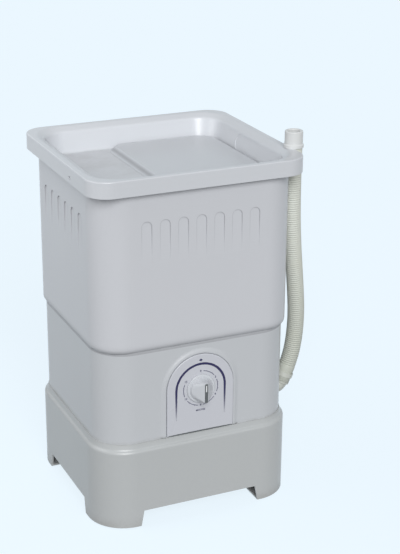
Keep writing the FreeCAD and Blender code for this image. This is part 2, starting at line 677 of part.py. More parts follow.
def base_stand():
    """Hollow stand with a sloped shoulder, a deck for the cabinet and four soles."""
    body = new_body("base_stand_body")
    outline = new_sketch(body, "outline", offset="pad_thickness")
    rounded_rectangle(outline, BASE_WIDTH, BASE_DEPTH, "base_radius")
    pad(body, outline, "base_height - pad_thickness")
    low = new_sketch(body, "shoulder_low", offset="base_height")
    rounded_rectangle(low, BASE_WIDTH, BASE_DEPTH, "base_radius")
    bend = new_sketch(body, "shoulder_bend", offset="base_height + shoulder_step_rise")
    rounded_rectangle(bend, f"({BASE_WIDTH} - 2 * shoulder_step)", f"({BASE_DEPTH} - 2 * shoulder_step)",
                      "base_radius - shoulder_step")
    high = new_sketch(body, "shoulder_high", offset=BASE_TOP)
    rounded_rectangle(high, f"({CABINET_WIDTH} + 2 * shoulder_ledge)",
                      f"({CABINET_DEPTH} + 2 * shoulder_ledge)",
                      "cabinet_radius + shoulder_ledge")
    loft(body, "AdditiveLoft", low, bend, high)
    round_edges(body, at_height("base_height + shoulder_step_rise"), "shoulder_hollow")
    round_edges(body, at_height("base_height"), "shoulder_round")
    hollow = new_sketch(body, "hollow", offset="pad_thickness + sole_thickness")
    rounded_rectangle(hollow, f"({BASE_WIDTH} - 2 * moulded_wall)", f"({BASE_DEPTH} - 2 * moulded_wall)",
                      "base_radius - moulded_wall")
    shoulder_foot = "(base_height - shoulder_round)"
    pocket(body, hollow, f"{shoulder_foot} - pad_thickness - sole_thickness", Reversed=True)
    crown = new_sketch(body, "crown", offset=shoulder_foot)
    rounded_rectangle(crown, f"({CABINET_WIDTH} - 2 * moulded_wall)",
                      f"({CABINET_DEPTH} - 2 * moulded_wall)",
                      "cabinet_radius - moulded_wall")
    pocket(body, crown, f"{BASE_TOP} - base_deck - {shoulder_foot}", Reversed=True)
    opening = new_sketch(body, "opening", offset=f"{BASE_TOP} - base_deck")
    rounded_rectangle(opening, "deck_width", "deck_depth", "deck_corner", ("0", DECK_Y))
    pocket(body, opening, "base_deck", Reversed=True)
    for name, role, gap, reach in (("front_gap", "XZ_Plane", "foot_gap_front", BASE_DEPTH),
                                   ("side_gap", "YZ_Plane", "foot_gap_side", BASE_WIDTH)):
        sketch = new_sketch(body, name, role)
        polygon(sketch, [(f"-{gap} / 2 - foot_spread", "0"), (f"{gap} / 2 + foot_spread", "0"),
                         (f"{gap} / 2", "foot_height"), (f"-{gap} / 2", "foot_height")])
        pocket(body, sketch, reach, Midplane=True)
    holes = mount_holes() + casing_holes("base_casing_hole", f"{BASE_TOP} - base_deck", "base_deck")
    holes += [cylinder("base_clip_hole", "screw_radius + fit_gap", "base_deck",
                       (LEDGE_X, CLIP_SCREW_Y, f"{BASE_TOP} - base_deck"))]
    holes += terminal_holes("base_terminal_hole", f"{BASE_TOP} - base_deck", "base_deck")
    return keep("base_stand", cut("base_stand", body, holes))


def mount_holes():
    """Screw holes under the rubber mounts."""
    def hole(name, x, y):
        return cylinder(name, "bolt_radius + fit_gap", "base_deck",
                        (x, f"motor_offset + {y}", f"{BASE_TOP} - base_deck"))
    return four("base_mount_hole", hole, "mount_spread_x / 2", "mount_spread_y / 2")


def casing_holes(name, foot, height):
    """Screw holes near the side walls of a casing."""
    def hole(hole_name, x, y):
        return cylinder(hole_name, "screw_radius + fit_gap", height, (x, y, foot))
    return four(name, hole, CASING_SCREW_X, "casing_screw_spread / 2")


def terminal_holes(name, foot, height):
    """Screw holes of the terminal block."""
    return [cylinder(f"{name}{i}", "screw_radius + fit_gap", height,
                     (f"-{LEDGE_X}", f"-terminal_place + {side} * terminal_hole_spread / 2", foot))
            for i, side in enumerate((-1, 1))]


def foot_pads():
    """Four rubber pads under the soles."""
    def one(name, x, y):
        return cylinder(name, "pad_radius", "pad_thickness", (x, y, "0"))
    return keep("foot_pads", group("foot_pads", four("foot_pad", one, f"{BASE_WIDTH} / 2 - pad_setback",
                                                     f"{BASE_DEPTH} / 2 - pad_setback")))


# Lower cabinet, its cover and the screws of the casings

def lower_cabinet():
    """Casing with inner screw tabs and openings for the timer, drain, gland and back cover."""
    body = new_body("lower_cabinet_body")
    outline = new_sketch(body, "outline", offset=BASE_TOP)
    rounded_rectangle(outline, CABINET_WIDTH, CABINET_DEPTH, "cabinet_radius")
    pad(body, outline, f"step_height - {BASE_TOP}")
    hollow = new_sketch(body, "hollow", offset=BASE_TOP)
    rounded_rectangle(hollow, f"({CABINET_WIDTH} - 2 * moulded_wall)",
                      f"({CABINET_DEPTH} - 2 * moulded_wall)",
                      "cabinet_radius - moulded_wall")
    pocket(body, hollow, f"step_height - {BASE_TOP}", Reversed=True)
    front, wall = f"-{CABINET_FRONT}", "moulded_wall"
    tabs = cabinet_tabs("foot_tab", BASE_TOP) + cabinet_tabs("head_tab", "step_height - moulded_wall")
    tools = [cylinder("timer_bush_hole", "timer_bush_radius + fit_gap", wall, ("0", front, KNOB_Z), "y")]
    for i, side in enumerate((-1, 1)):
        tools.append(cylinder(f"timer_screw_hole{i}", "screw_radius + fit_gap", wall,
                              (f"{side} * ({TIMER_EAR_X})", front, KNOB_Z), "y"))
        tools.append(cylinder(f"peg_hole{i}", "peg_radius + fit_gap", wall,
                              (f"{side} * peg_spread / 2", front, f"{PANEL_FOOT} + peg_lift"), "y"))
    tools.append(cylinder("outlet_hole", "pipe_radius + 4 * fit_gap", "3 * moulded_wall",
                          (f"{CABINET_SIDE} - 3 * moulded_wall", "-drain_y", OUTLET_Z), "x"))
    back = f"{CABINET_FRONT} - moulded_wall"
    tools.append(block("cover_window", ("cover_width - 2 * cover_lap", wall, "cover_tall - 2 * cover_lap"),
                       ("cover_lap - cover_width / 2", back, f"{COVER_Z} - cover_tall / 2 + cover_lap")))
    tools += cover_holes("cabinet_cover_hole", back, wall)
    gland_at = (f"-{GLAND_X}", back, GLAND_Z)
    tools.append(cylinder("gland_hole", "gland_radius + fit_gap", wall, gland_at, "y"))
    tools += casing_holes("cabinet_foot_hole", BASE_TOP, wall)
    tools += casing_holes("cabinet_head_hole", "step_height - moulded_wall", wall)
    return keep("lower_cabinet", cut("lower_cabinet", fuse("cabinet_with_tabs", [body] + tabs), tools))


def cabinet_tabs(name, foot):
    """Screw tabs that reach in from the cabinet's side walls at one height."""
    reach = "(cabinet_flange - moulded_wall / 2)"
    middle = f"({CABINET_SIDE} - cabinet_flange / 2 - moulded_wall / 4)"

    def tab(tab_name, x, y):
        return block(tab_name, (reach, "cabinet_tab", "moulded_wall"),
                     (f"{x} - {reach} / 2", f"{y} - cabinet_tab / 2", foot))
    return four(name, tab, middle, "casing_screw_spread / 2")


def cover_holes(name, start, length):
    """Screw holes in the corners of the back cover."""
    def hole(hole_name, x, z):
        return cylinder(hole_name, "screw_radius + fit_gap", length, (x, start, f"{COVER_Z} + {z}"), "y")
    return four(name, hole, "cover_width / 2 - cover_lap / 2", "cover_tall / 2 - cover_lap / 2")


def rear_cover():
    """Flat service cover with vent slots."""
    body = new_body("rear_cover_body")
    plate = new_sketch(body, "plate", "XZ_Plane", f"-{CABINET_FRONT}")
    rounded_rectangle(plate, "cover_width", "cover_tall", "cover_corner", ("0", COVER_Z))
    pad(body, plate, "cover_sheet", Reversed=True)
    vent = new_sketch(body, "vent", "XZ_Plane", f"-{CABINET_FRONT}")
    rounded_rectangle(vent, "vent_length", "vent_width", "vent_width * 0.49",
                      ("0", f"{COVER_Z} - vent_pitch * (vent_count - 1) / 2"))
    slot = pocket(body, vent, "cover_sheet", Reversed=False)
    repeat(body, slot, "LinearPattern", (vent, ["V_Axis"]), Length="vent_pitch * (vent_count - 1)",
           Occurrences="vent_count")
    return keep("rear_cover", cut("rear_cover", body,
                                  cover_holes("cover_hole", CABINET_FRONT, "cover_sheet")))


def casing_screws():
    """Screws of the back cover, of the cabinet on the base and of the tub on the cabinet."""
    def cover_screw(name, x, z):
        at = (x, f"{CABINET_FRONT} + cover_sheet", f"{COVER_Z} + {z}")
        return screw(name, at, "y", "cover_sheet + moulded_wall + screw_tail", sign=-1)
    keep("rear_cover_screws", group("rear_cover_screws", four(
        "rear_cover_screw", cover_screw, "cover_width / 2 - cover_lap / 2",
        "cover_tall / 2 - cover_lap / 2")))

    def foot_screw(name, x, y):
        return screw(name, (x, y, f"{BASE_TOP} - base_deck"), "z", "base_deck + moulded_wall + screw_tail")

    def head_screw(name, x, y):
        return screw(name, (x, y, "step_height - moulded_wall"), "z", "moulded_wall + tub_floor / 2")
    along = "casing_screw_spread / 2"
    keep("cabinet_screws", group("cabinet_screws",
                                 four("cabinet_screw", foot_screw, CASING_SCREW_X, along)))
    keep("tub_screws", group("tub_screws", four("tub_screw", head_screw, CASING_SCREW_X, along)))


# Tub, deck and lid

def flute_row(body, name, role, reach, count, pitch, outward):
    """Row of flutes on one wall: flat recesses with round tops that run out to nothing at the foot."""
    sketch = new_sketch(body, name, role)
    foot = "overall_height - flute_drop - flute_length"
    lean = f"{-outward} * atan(flute_depth / flute_length)"
    sketch.AttachmentOffset = FreeCAD.Placement(Vector(), FreeCAD.Rotation(Vector(1, 0, 0), 1))
    bind(sketch, "AttachmentOffset.Base.y", foot)
    bind(sketch, "AttachmentOffset.Base.z", f"{outward} * {reach}")
    bind(sketch, "AttachmentOffset.Rotation.Angle", lean)
    half, tall = value("flute_width / 2"), value("flute_length - flute_width / 2")
    x = value(f"-{pitch} * ({count} - 1) / 2")
    top = Part.ArcOfCircle(Part.Circle(Vector(x, tall, 0), Vector(0, 0, 1), half), 0, math.pi)
    curve = sketch.addGeometry(top)
    spots = [Vector(x - half, tall, 0), Vector(x - half, 0, 0), Vector(x + half, 0, 0),
             Vector(x + half, tall, 0)]
    sides = [sketch.addGeometry(Part.LineSegment(spots[i], spots[i + 1])) for i in range(3)]
    sketch.addConstraint(Sketcher.Constraint("Tangent", curve, 2, sides[0], 1))
    sketch.addConstraint(Sketcher.Constraint("Coincident", sides[0], 2, sides[1], 1))
    sketch.addConstraint(Sketcher.Constraint("Coincident", sides[1], 2, sides[2], 1))
    sketch.addConstraint(Sketcher.Constraint("Tangent", sides[2], 2, curve, 1))
    sketch.addConstraint(Sketcher.Constraint("Vertical", sides[0]))
    first = f"-{pitch} * ({count} - 1) / 2"
    pin_point(sketch, curve, 3, (first, "flute_length - flute_width / 2"))
    pin_point(sketch, sides[1], 1, (f"{first} - flute_width / 2", "0"))
    pin_point(sketch, sides[1], 2, (f"{first} + flute_width / 2", "0"))
    flute = pocket(body, sketch, "2 * flute_depth", Reversed=outward > 0)
    repeat(body, flute, "LinearPattern", (sketch, ["H_Axis"]), Length=f"{pitch} * ({count} - 1)",
           Occurrences=count)


def on_wall(axis, out, along):
    """Place of a skirt screw from its distances out of the middle and along its wall."""
    return (out, along, DECK_SCREW_Z) if axis == "x" else (along, out, DECK_SCREW_Z)


def wash_tub():
    """Open tub whose wall is the machine's upper casing, with flutes on all four walls."""
    body = new_body("wash_tub_body")
    outline = new_sketch(body, "outline", offset="step_height + tub_foot")
    rounded_rectangle(outline, TUB_WIDTH, TUB_DEPTH, "tub_radius")
    pad(body, outline, f"{TUB_TOP} - step_height - tub_foot")
    round_edges(body, at_height("step_height + tub_foot"), "tub_round")
    foot = new_sketch(body, "foot", offset="step_height")
    rounded_rectangle(foot, CABINET_WIDTH, CABINET_DEPTH, "cabinet_radius")
    pad(body, foot, "tub_floor")
    hollow = new_sketch(body, "hollow", offset=TUB_TOP)
    rounded_rectangle(hollow, f"({TUB_WIDTH} - 2 * moulded_wall)", f"({TUB_DEPTH} - 2 * moulded_wall)",
                      "tub_radius - moulded_wall")
    pocket(body, hollow, f"{TUB_TOP} - {TUB_BED}")
    round_edges(body, at_height(TUB_BED), "tub_inner_round")
    flute_row(body, "front_flute", "XZ_Plane", f"{TUB_DEPTH} / 2", "flute_count", "flute_pitch", 1)
    flute_row(body, "back_flute", "XZ_Plane", f"{TUB_DEPTH} / 2", "flute_count", "flute_pitch", -1)
    flute_row(body, "right_flute", "YZ_Plane", f"{TUB_WIDTH} / 2", "side_flute_count",
              "side_flute_pitch", 1)
    flute_row(body, "left_flute", "YZ_Plane", f"{TUB_WIDTH} / 2", "side_flute_count",
              "side_flute_pitch", -1)
    holes = [cylinder("housing_hole", "housing_radius + fit_gap", "tub_floor", ("0", "0", "step_height")),
             cylinder("drain_hole", "pipe_bore", "tub_floor", ("drain_x", "-drain_y", "step_height"))]

    def housing_hole(name, x, y):
        return cylinder(name, "screw_radius + fit_gap", "tub_floor / 2 + 2 * fit_gap",
                        (x, y, "step_height"))
    holes += on_circle("tub_housing_hole", housing_hole, "housing_screw_count", "housing_bolt_circle")
    holes += casing_holes("tub_foot_hole", "step_height", "tub_floor / 2 + 2 * fit_gap")
    for i, (axis, sign, half, along) in enumerate(DECK_SCREWS):
        start = f"{half} - tub_inset - moulded_wall" if sign > 0 else f"tub_inset - {half}"
        holes.append(cylinder(f"tub_side_hole{i}", "screw_radius + fit_gap", "moulded_wall",
                              on_wall(axis, start, along), axis))
    return keep("wash_tub", cut("wash_tub", body, holes))


def grip_recess(body, name, outward):
    """Shallow hand-grip recess in the sloped tray wall on one side."""
    sketch = new_sketch(body, name, "YZ_Plane")
    sketch.AttachmentOffset = FreeCAD.Placement(Vector(), FreeCAD.Rotation(Vector(1, 0, 0), 1))
    bind(sketch, "AttachmentOffset.Base.y", f"{TRAY_TOP} + grip_rise")
    bind(sketch, "AttachmentOffset.Base.z",
         f"{outward} * (overall_width / 2 - tray_foot_inset + grip_rise * {TRAY_LEAN})")
    bind(sketch, "AttachmentOffset.Rotation.Angle", f"{outward} * atan({TRAY_LEAN})")
    rounded_rectangle(sketch, "grip_length", "grip_height", "grip_corner")
    pocket(body, sketch, "grip_depth", Reversed=outward > 0)


def top_deck():
    """Rim with a skirt, a tray with a brow and sloped walls, and the tub's mouth in its floor."""
    body = new_body("top_deck_body")
    outline = new_sketch(body, "outline", offset=SKIRT_FOOT)
    rounded_rectangle(outline, "overall_width", "overall_depth", "rim_radius")
    pad(body, outline, "rim_skirt")
    round_edges(body, at_height("overall_height"), "rim_round")
    inside = new_sketch(body, "inside", offset=SKIRT_FOOT)
    rounded_rectangle(inside, "(overall_width - 2 * moulded_wall)", "(overall_depth - 2 * moulded_wall)",
                      "rim_radius - moulded_wall")
    pocket(body, inside, "rim_skirt - moulded_wall", Reversed=True)
    levels = (("top", "overall_height", "rim_ledge", "tray_corner", "moulded_wall"),
              ("brow", BROW_FOOT, "brow_inset", BROW_CORNER, "moulded_wall"),
              ("foot", TRAY_TOP, "tray_foot_inset", TRAY_FOOT_CORNER, "tray_floor"))
    shell, tray = [], []
    for name, level, inset, corner, below in levels:
        wide, deep = f"overall_width - 2 * {inset}", f"overall_depth - 2 * {inset}"
        shell.append(new_sketch(body, f"shell_{name}", offset=f"{level} - {below}"))
        rounded_rectangle(shell[-1], f"({wide} + 2 * moulded_wall)", f"({deep} + 2 * moulded_wall)",
                          f"{corner} + moulded_wall")
        tray.append(new_sketch(body, f"tray_{name}", offset=level))
        rounded_rectangle(tray[-1], f"({wide})", f"({deep})", corner)
    loft(body, "AdditiveLoft", *shell)
    loft(body, "SubtractiveLoft", *tray)
    round_edges(body, at_height(TRAY_TOP), "tray_fillet")
    round_edges(body, at_height(BROW_FOOT), "brow_round")
    edge_x = value("overall_width / 2 - rim_ledge") + 0.01
    edge_y = value("overall_depth / 2 - rim_ledge") + 0.01
    at_rim = at_height("overall_height")
    inside_tray = FreeCAD.BoundBox(-edge_x, -edge_y, 0, edge_x, edge_y, value("overall_height") + 1)
    round_edges(body, lambda edge: at_rim(edge) and inside_tray.isInside(edge.BoundBox), "tray_round")
    grip_recess(body, "right_grip", 1)
    grip_recess(body, "left_grip", -1)
    mouth = new_sketch(body, "mouth", offset=TRAY_TOP)
    rounded_rectangle(mouth, MOUTH_WIDTH, MOUTH_DEPTH, "lid_corner", (MOUTH_X, "0"))
    pocket(body, mouth, "tray_floor")
    notch = new_sketch(body, "notch", offset=SKIRT_FOOT)
    circle(notch, "hose_radius + hose_notch_gap", (HOSE_X, HOSE_Y))
    pocket(body, notch, "rim_skirt", Reversed=True)
    bosses, holes = [], []
    for i, (axis, sign, half, along) in enumerate(DECK_SCREWS):
        inner = f"{half} - tub_inset"
        start, seat, drill = inner, f"{inner} + boss_floor", inner
        if sign < 0:
            seat = drill = f"-{half}"
            start = f"{seat} + moulded_wall / 2"
        bosses.append(cylinder(f"deck_boss{i}", "boss_radius", "tub_inset - moulded_wall / 2",
                               on_wall(axis, start, along), axis))
        holes.append(cylinder(f"deck_seat{i}", "screw_head_radius + fit_gap", "tub_inset - boss_floor",
                              on_wall(axis, seat, along), axis))
        holes.append(cylinder(f"deck_drill{i}", "screw_radius + fit_gap", "tub_inset",
                              on_wall(axis, drill, along), axis))
    return keep("top_deck", cut("top_deck", fuse("deck_with_bosses", [body] + bosses), holes))


def deck_screws():
    """Skirt screws, deep in their bosses."""
    made = []
    for i, (axis, sign, half, along) in enumerate(DECK_SCREWS):
        out = f"{sign} * ({half} - tub_inset + boss_floor)"
        made.append(screw(f"deck_screw{i}", on_wall(axis, out, along), axis,
                          "boss_floor + moulded_wall + screw_tail", sign=-sign))
    return keep("deck_screws", group("deck_screws", made))


def lid_panel():
    """Lift-off lid over the tub's mouth: a shallow cap with a sloped left edge."""
    body = new_body("lid_panel")
    depth = "(overall_depth - 2 * tray_foot_inset - 2 * lid_gap)"
    levels = ((f"{TRAY_TOP} + running_gap", "-lid_reach", "foot"),
              (f"{TRAY_TOP} + lid_rise", "lid_slope - lid_reach", "top"))
    sketches = []
    for level, left, name in levels:
        sketch = new_sketch(body, name, offset=level)
        rounded_rectangle(sketch, f"({LID_RIGHT} - ({left}))", depth, TRAY_FOOT_CORNER,
                          (f"({LID_RIGHT} + {left}) / 2", "0"), left_radius="lid_corner")
        sketches.append(sketch)
    loft(body, "AdditiveLoft", *sketches)
    hollow = new_sketch(body, "hollow", offset=f"{TRAY_TOP} + running_gap")
    rounded_rectangle(hollow, MOUTH_WIDTH, MOUTH_DEPTH, "lid_corner", (MOUTH_X, "0"))
    pocket(body, hollow, "lid_rise - running_gap - lid_wall", Reversed=True)
    return keep("lid_panel", body)


# Control panel, timer and knob

def control_panel():
    """Arched plate with a hollow back, a hole for the timer shaft and two pegs."""
    body = new_body("control_panel_body")
    plate = new_sketch(body, "plate", "XZ_Plane", CABINET_FRONT)
    arch(plate, "panel_width", PANEL_FOOT, PANEL_ARCH)
    pad(body, plate, "panel_thickness")
    front = value(f"-{CABINET_FRONT} - panel_thickness")
    round_edges(body, lambda edge: edge.BoundBox.YMax < front + 0.01, "panel_round")
    hollow = new_sketch(body, "hollow", "XZ_Plane", CABINET_FRONT)
    arch(hollow, "(panel_width - 4 * panel_face)", f"{PANEL_FOOT} + 2 * panel_face", PANEL_ARCH)
    pocket(body, hollow, "panel_thickness - panel_face", Reversed=True)
    hole = new_sketch(body, "hole", "XZ_Plane", CABINET_FRONT)
    circle(hole, "timer_shaft_radius + 2 * running_gap", ("0", KNOB_Z))
    pocket(body, hole, "panel_thickness", Reversed=True)
    pegs = [cylinder(f"panel_peg{i}", "peg_radius", "peg_length + panel_thickness - panel_face / 2",
                     (f"{side} * peg_spread / 2", f"-{CABINET_FRONT} - panel_thickness + panel_face / 2",
                      f"{PANEL_FOOT} + peg_lift"), "y") for i, side in enumerate((-1, 1))]
    return keep("control_panel", fuse("control_panel", [body] + pegs))


def timer():
    """Timer case with ears and a bush, its two screws and its shaft."""
    face = f"(moulded_wall - {CABINET_FRONT})"
    case = block("timer_box", ("timer_width", "timer_deep", "timer_tall"),
                 ("-timer_width / 2", face, f"{KNOB_Z} - timer_tall / 2"))
    ears = block("timer_ears", ("timer_width + 2 * timer_ear", "timer_ear / 4", "2 * timer_ear"),
                 ("-timer_width / 2 - timer_ear", face, f"{KNOB_Z} - timer_ear"))
    bush = cylinder("timer_bush_body", "timer_bush_radius", "timer_bush",
                    ("0", f"{face} - timer_bush", KNOB_Z), "y")
    bore = cylinder("timer_bore", "timer_shaft_radius + bush_clearance", "timer_bush + timer_deep / 2",
                    ("0", f"{face} - timer_bush", KNOB_Z), "y")
    drills = [cylinder(f"timer_drill{i}", "screw_radius + fit_gap", "timer_ear / 4",
                       (f"{side} * ({TIMER_EAR_X})", face, KNOB_Z), "y") for i, side in enumerate((-1, 1))]
    keep("timer_case", cut("timer_case", fuse("timer_shell", [case, ears, bush]), [bore] + drills))
    screws = [screw(f"timer_screw{i}", (f"{side} * ({TIMER_EAR_X})", f"-{CABINET_FRONT}", KNOB_Z), "y",
                    "moulded_wall + timer_ear / 2") for i, side in enumerate((-1, 1))]
    keep("timer_screws", group("timer_screws", screws))
    front = f"(-{CABINET_FRONT} - panel_thickness - running_gap - timer_grip)"
    length = f"{face} + timer_deep / 2 - 2 * running_gap - {front}"
    keep("timer_shaft", cylinder("timer_shaft", "timer_shaft_radius", length, ("0", front, KNOB_Z), "y"))


def timer_knob():
    """Round knob with a skirt and a drum that narrows to a grip blade, bored for the timer shaft."""
    body = new_body("timer_knob")
    outline = new_sketch(body, "outline", "XZ_Plane")
    polygon(outline, [("0", "0"), ("knob_radius", "0"), ("knob_radius", "knob_skirt * 0.6"),
                      ("knob_radius - knob_skirt * 0.4", "knob_skirt"), ("knob_dome_radius", "knob_skirt"),
                      ("knob_dome_radius - knob_crown", "knob_dome"), ("0", "knob_dome")])
    revolution(body, outline)
    foot = new_sketch(body, "blade_foot", offset="knob_dome")
    foot_side = "(2 * (knob_dome_radius - knob_crown) - knob_crown)"
    rounded_rectangle(foot, foot_side, foot_side, f"{foot_side} * 0.46")
    blade = new_sketch(body, "blade", offset="blade_height")
    rounded_rectangle(blade, "blade_width", "blade_length", "blade_width * 0.3")
    loft(body, "AdditiveLoft", foot, blade)
    bore = new_sketch(body, "bore")
    circle(bore, "timer_shaft_radius + fit_gap")
    pocket(body, bore, "timer_grip", Reversed=True)
    round_edges(body, at_height("blade_height"), "blade_round")
    body.Placement = FreeCAD.Placement(Vector(), FreeCAD.Rotation(Vector(1, 0, 0), 90))
    place(body, ("0", f"-{CABINET_FRONT} - panel_thickness - running_gap", KNOB_Z))
    return keep("timer_knob", body)


# Pulsator, its shaft and bearings

def shaft_bearings():
    """Bearing housing under the tub, its bushes, seal and screws."""
    foot = "(step_height - housing_drop)"
    head = f"({TUB_BED} + housing_rise)"
    seal_foot = f"({head} - seal_thickness)"
    upper = f"({seal_foot} - bush_length)"
    housing = turned("housing_body", [
        ("bush_radius + fit_gap", foot), ("housing_radius", foot),
        ("housing_radius", "step_height - housing_flange"),
        ("housing_flange_radius", "step_height - housing_flange"), ("housing_flange_radius", "step_height"),
        ("housing_radius", "step_height"), ("housing_radius", head), ("bush_radius + fit_gap", head),
        ("bush_radius + fit_gap", upper), ("bush_radius - bush_shoulder", upper),
        ("bush_radius - bush_shoulder", f"{foot} + bush_length"),
        ("bush_radius + fit_gap", f"{foot} + bush_length")])

    def hole(name, x, y):
        return cylinder(name, "screw_radius + fit_gap", "housing_flange",
                        (x, y, "step_height - housing_flange"))

    def one(name, x, y):
        return screw(name, (x, y, "step_height - housing_flange"), "z", "housing_flange + tub_floor / 2")
    drills = on_circle("housing_drill", hole, "housing_screw_count", "housing_bolt_circle")
    keep("bearing_housing", cut("bearing_housing", housing, drills))
    keep("housing_screws", group("housing_screws", on_circle(
        "housing_screw", one, "housing_screw_count", "housing_bolt_circle")))
    bore = "shaft_radius + bush_clearance"
    keep("shaft_bushes", group("shaft_bushes", [
        tube("lower_bush", "bush_radius", bore, "bush_length", ("0", "0", foot)),
        tube("upper_bush", "bush_radius", bore, "bush_length", ("0", "0", upper))]))
    keep("shaft_seal", tube("shaft_seal", "bush_radius", bore, "seal_thickness", ("0", "0", seal_foot)))


def drive_shaft():
    """Upright shaft with a collar above its pulley, drilled at its top for the pulsator screw."""
    bar = fuse("shaft_bar", [
        cylinder("shaft_rod", "shaft_radius", f"{SHAFT_TOP} - {SHAFT_END}", ("0", "0", SHAFT_END)),
        cylinder("shaft_ring", "shaft_collar_radius", "shaft_collar",
                 ("0", "0", f"{PULLEY_Z} + pulley_hub / 2"))])
    drill = cylinder("shaft_drill", "bolt_radius + fit_gap", "bolt_length",
                     ("0", "0", f"{SHAFT_TOP} - bolt_length"))
    return keep("drive_shaft", cut("drive_shaft", bar, [drill]))


def pulsator():
    """Dished wheel with fins round a hub."""
    body = new_body("pulsator")
    foot = PULSATOR_FOOT
    hub_top = f"{foot} + pulsator_hub"
    seat = f"{foot} + pulsator_hub - bolt_recess"
    outline = new_sketch(body, "outline", "XZ_Plane")
    polygon(outline, [
        ("shaft_radius + fit_gap", foot), ("pulsator_radius - pulsator_edge / 3", foot),
        ("pulsator_radius", f"{foot} + pulsator_edge / 3"),
        ("pulsator_radius", f"{foot} + pulsator_edge * 2 / 3"),
        ("pulsator_radius - pulsator_edge / 3", f"{foot} + pulsator_edge"),
        ("(pulsator_radius + pulsator_hub_radius) / 2", f"{foot} + pulsator_edge + dish_rise"),
        ("pulsator_hub_radius + pulsator_edge", f"{foot} + pulsator_dish"),
        ("pulsator_hub_radius - pulsator_edge", f"{foot} + pulsator_waist"),
        ("pulsator_nose_radius", hub_top), ("bolt_head_radius + running_gap", hub_top),
        ("bolt_head_radius + running_gap", seat), ("bolt_radius + fit_gap", seat),
        ("bolt_radius + fit_gap", SHAFT_TOP), ("shaft_radius + fit_gap", SHAFT_TOP)])
    revolution(body, outline)
    fin = new_sketch(body, "fin", "XZ_Plane")
    root = f"{foot} + pulsator_edge / 2"
    polygon(fin, [("pulsator_nose_radius - fin_root", root), ("fin_reach", root),
                  ("fin_reach", f"{foot} + fin_outer - fin_tip_drop"),
                  ("fin_reach - fin_tip", f"{foot} + fin_outer"),
                  ("pulsator_hub_radius + fin_shoulder", f"{foot} + fin_inner - fin_shoulder_drop"),
                  ("pulsator_nose_radius - fin_root", f"{foot} + fin_inner")])
    blade = pad(body, fin, "fin_thickness", Midplane=True)
    axis = next(item for item in body.Origin.OriginFeatures if item.Role == "Z_Axis")
    repeat(body, blade, "PolarPattern", (axis, [""]), Angle=360.0, Occurrences="fin_count")
    return keep("pulsator", body)


def pulsator_screw():
    """Screw that holds the pulsator on its shaft."""
    seat = f"{PULSATOR_FOOT} + pulsator_hub - bolt_recess"
    return keep("pulsator_screw", screw("pulsator_screw", ("0", "0", seat), "z", "bolt_length", sign=-1,
                                        head=("bolt_head_radius", "bolt_head", "bolt_radius")))


# Pulleys and belt

def groove(radius):
    """Points of a belt groove, from the lower to the upper edge of a pulley's rim."""
    mid = PULLEY_Z
    return [(radius, f"{mid} - pulley_width / 2"), (radius, f"{mid} - groove_mouth / 2"),
            (f"{radius} - groove_depth", f"{mid} - groove_foot / 2"),
            (f"{radius} - groove_depth", f"{mid} + groove_foot / 2"),
            (radius, f"{mid} + groove_mouth / 2"), (radius, f"{mid} + pulley_width / 2")]


def driven_pulley():
    """Large pulley with a web on the drive shaft, and its nut."""
    mid, inner = PULLEY_Z, "pulley_radius - pulley_rim"
    body = turned("driven_pulley", [
        ("shaft_radius + fit_gap", PULLEY_HUB_FOOT), ("pulley_hub_radius", PULLEY_HUB_FOOT),
        ("pulley_hub_radius", f"{mid} - pulley_web / 2"), (inner, f"{mid} - pulley_web / 2"),
        (inner, f"{mid} - pulley_width / 2")] + groove("pulley_radius") + [
        (inner, f"{mid} + pulley_width / 2"), (inner, f"{mid} + pulley_web / 2"),
        ("pulley_hub_radius", f"{mid} + pulley_web / 2"), ("pulley_hub_radius", f"{mid} + pulley_hub / 2"),
        ("shaft_radius + fit_gap", f"{mid} + pulley_hub / 2")])
    sketch = new_sketch(body, "web_hole", offset=f"{mid} - pulley_web / 2")
    circle(sketch, "web_hole_radius", ("web_hole_circle", "0"))
    hole = pocket(body, sketch, "pulley_web", Reversed=True)
    axis = next(item for item in body.Origin.OriginFeatures if item.Role == "Z_Axis")
    repeat(body, hole, "PolarPattern", (axis, [""]), Angle=360.0, Occurrences="web_hole_count")
    keep("driven_pulley", body)
    prism = doc.addObject("Part::Prism", "nut_prism")
    prism.Polygon = 6
    bind(prism, "Circumradius", "nut_flats / sqrt(3)")
    bind(prism, "Height", "nut_height")
    place(prism, ("0", "0", f"{PULLEY_HUB_FOOT} - nut_height"))
    bore = cylinder("nut_bore", "shaft_radius + fit_gap", "nut_height",
                    ("0", "0", f"{PULLEY_HUB_FOOT} - nut_height"))
    keep("pulley_nut", cut("pulley_nut", prism, [bore]))


def motor_pulley():
    """Small pulley on the motor shaft."""
    bore = "motor_shaft_radius - motor_shaft_step + fit_gap"
    body = turned("motor_pulley", [
        (bore, MOTOR_HUB_FOOT), ("motor_hub_radius", MOTOR_HUB_FOOT),
        ("motor_hub_radius", f"{PULLEY_Z} - pulley_width / 2")] + groove("motor_pulley_radius") + [
        (bore, f"{PULLEY_Z} + pulley_width / 2")], ("0", "motor_offset", "0"))
    return keep("motor_pulley", body)


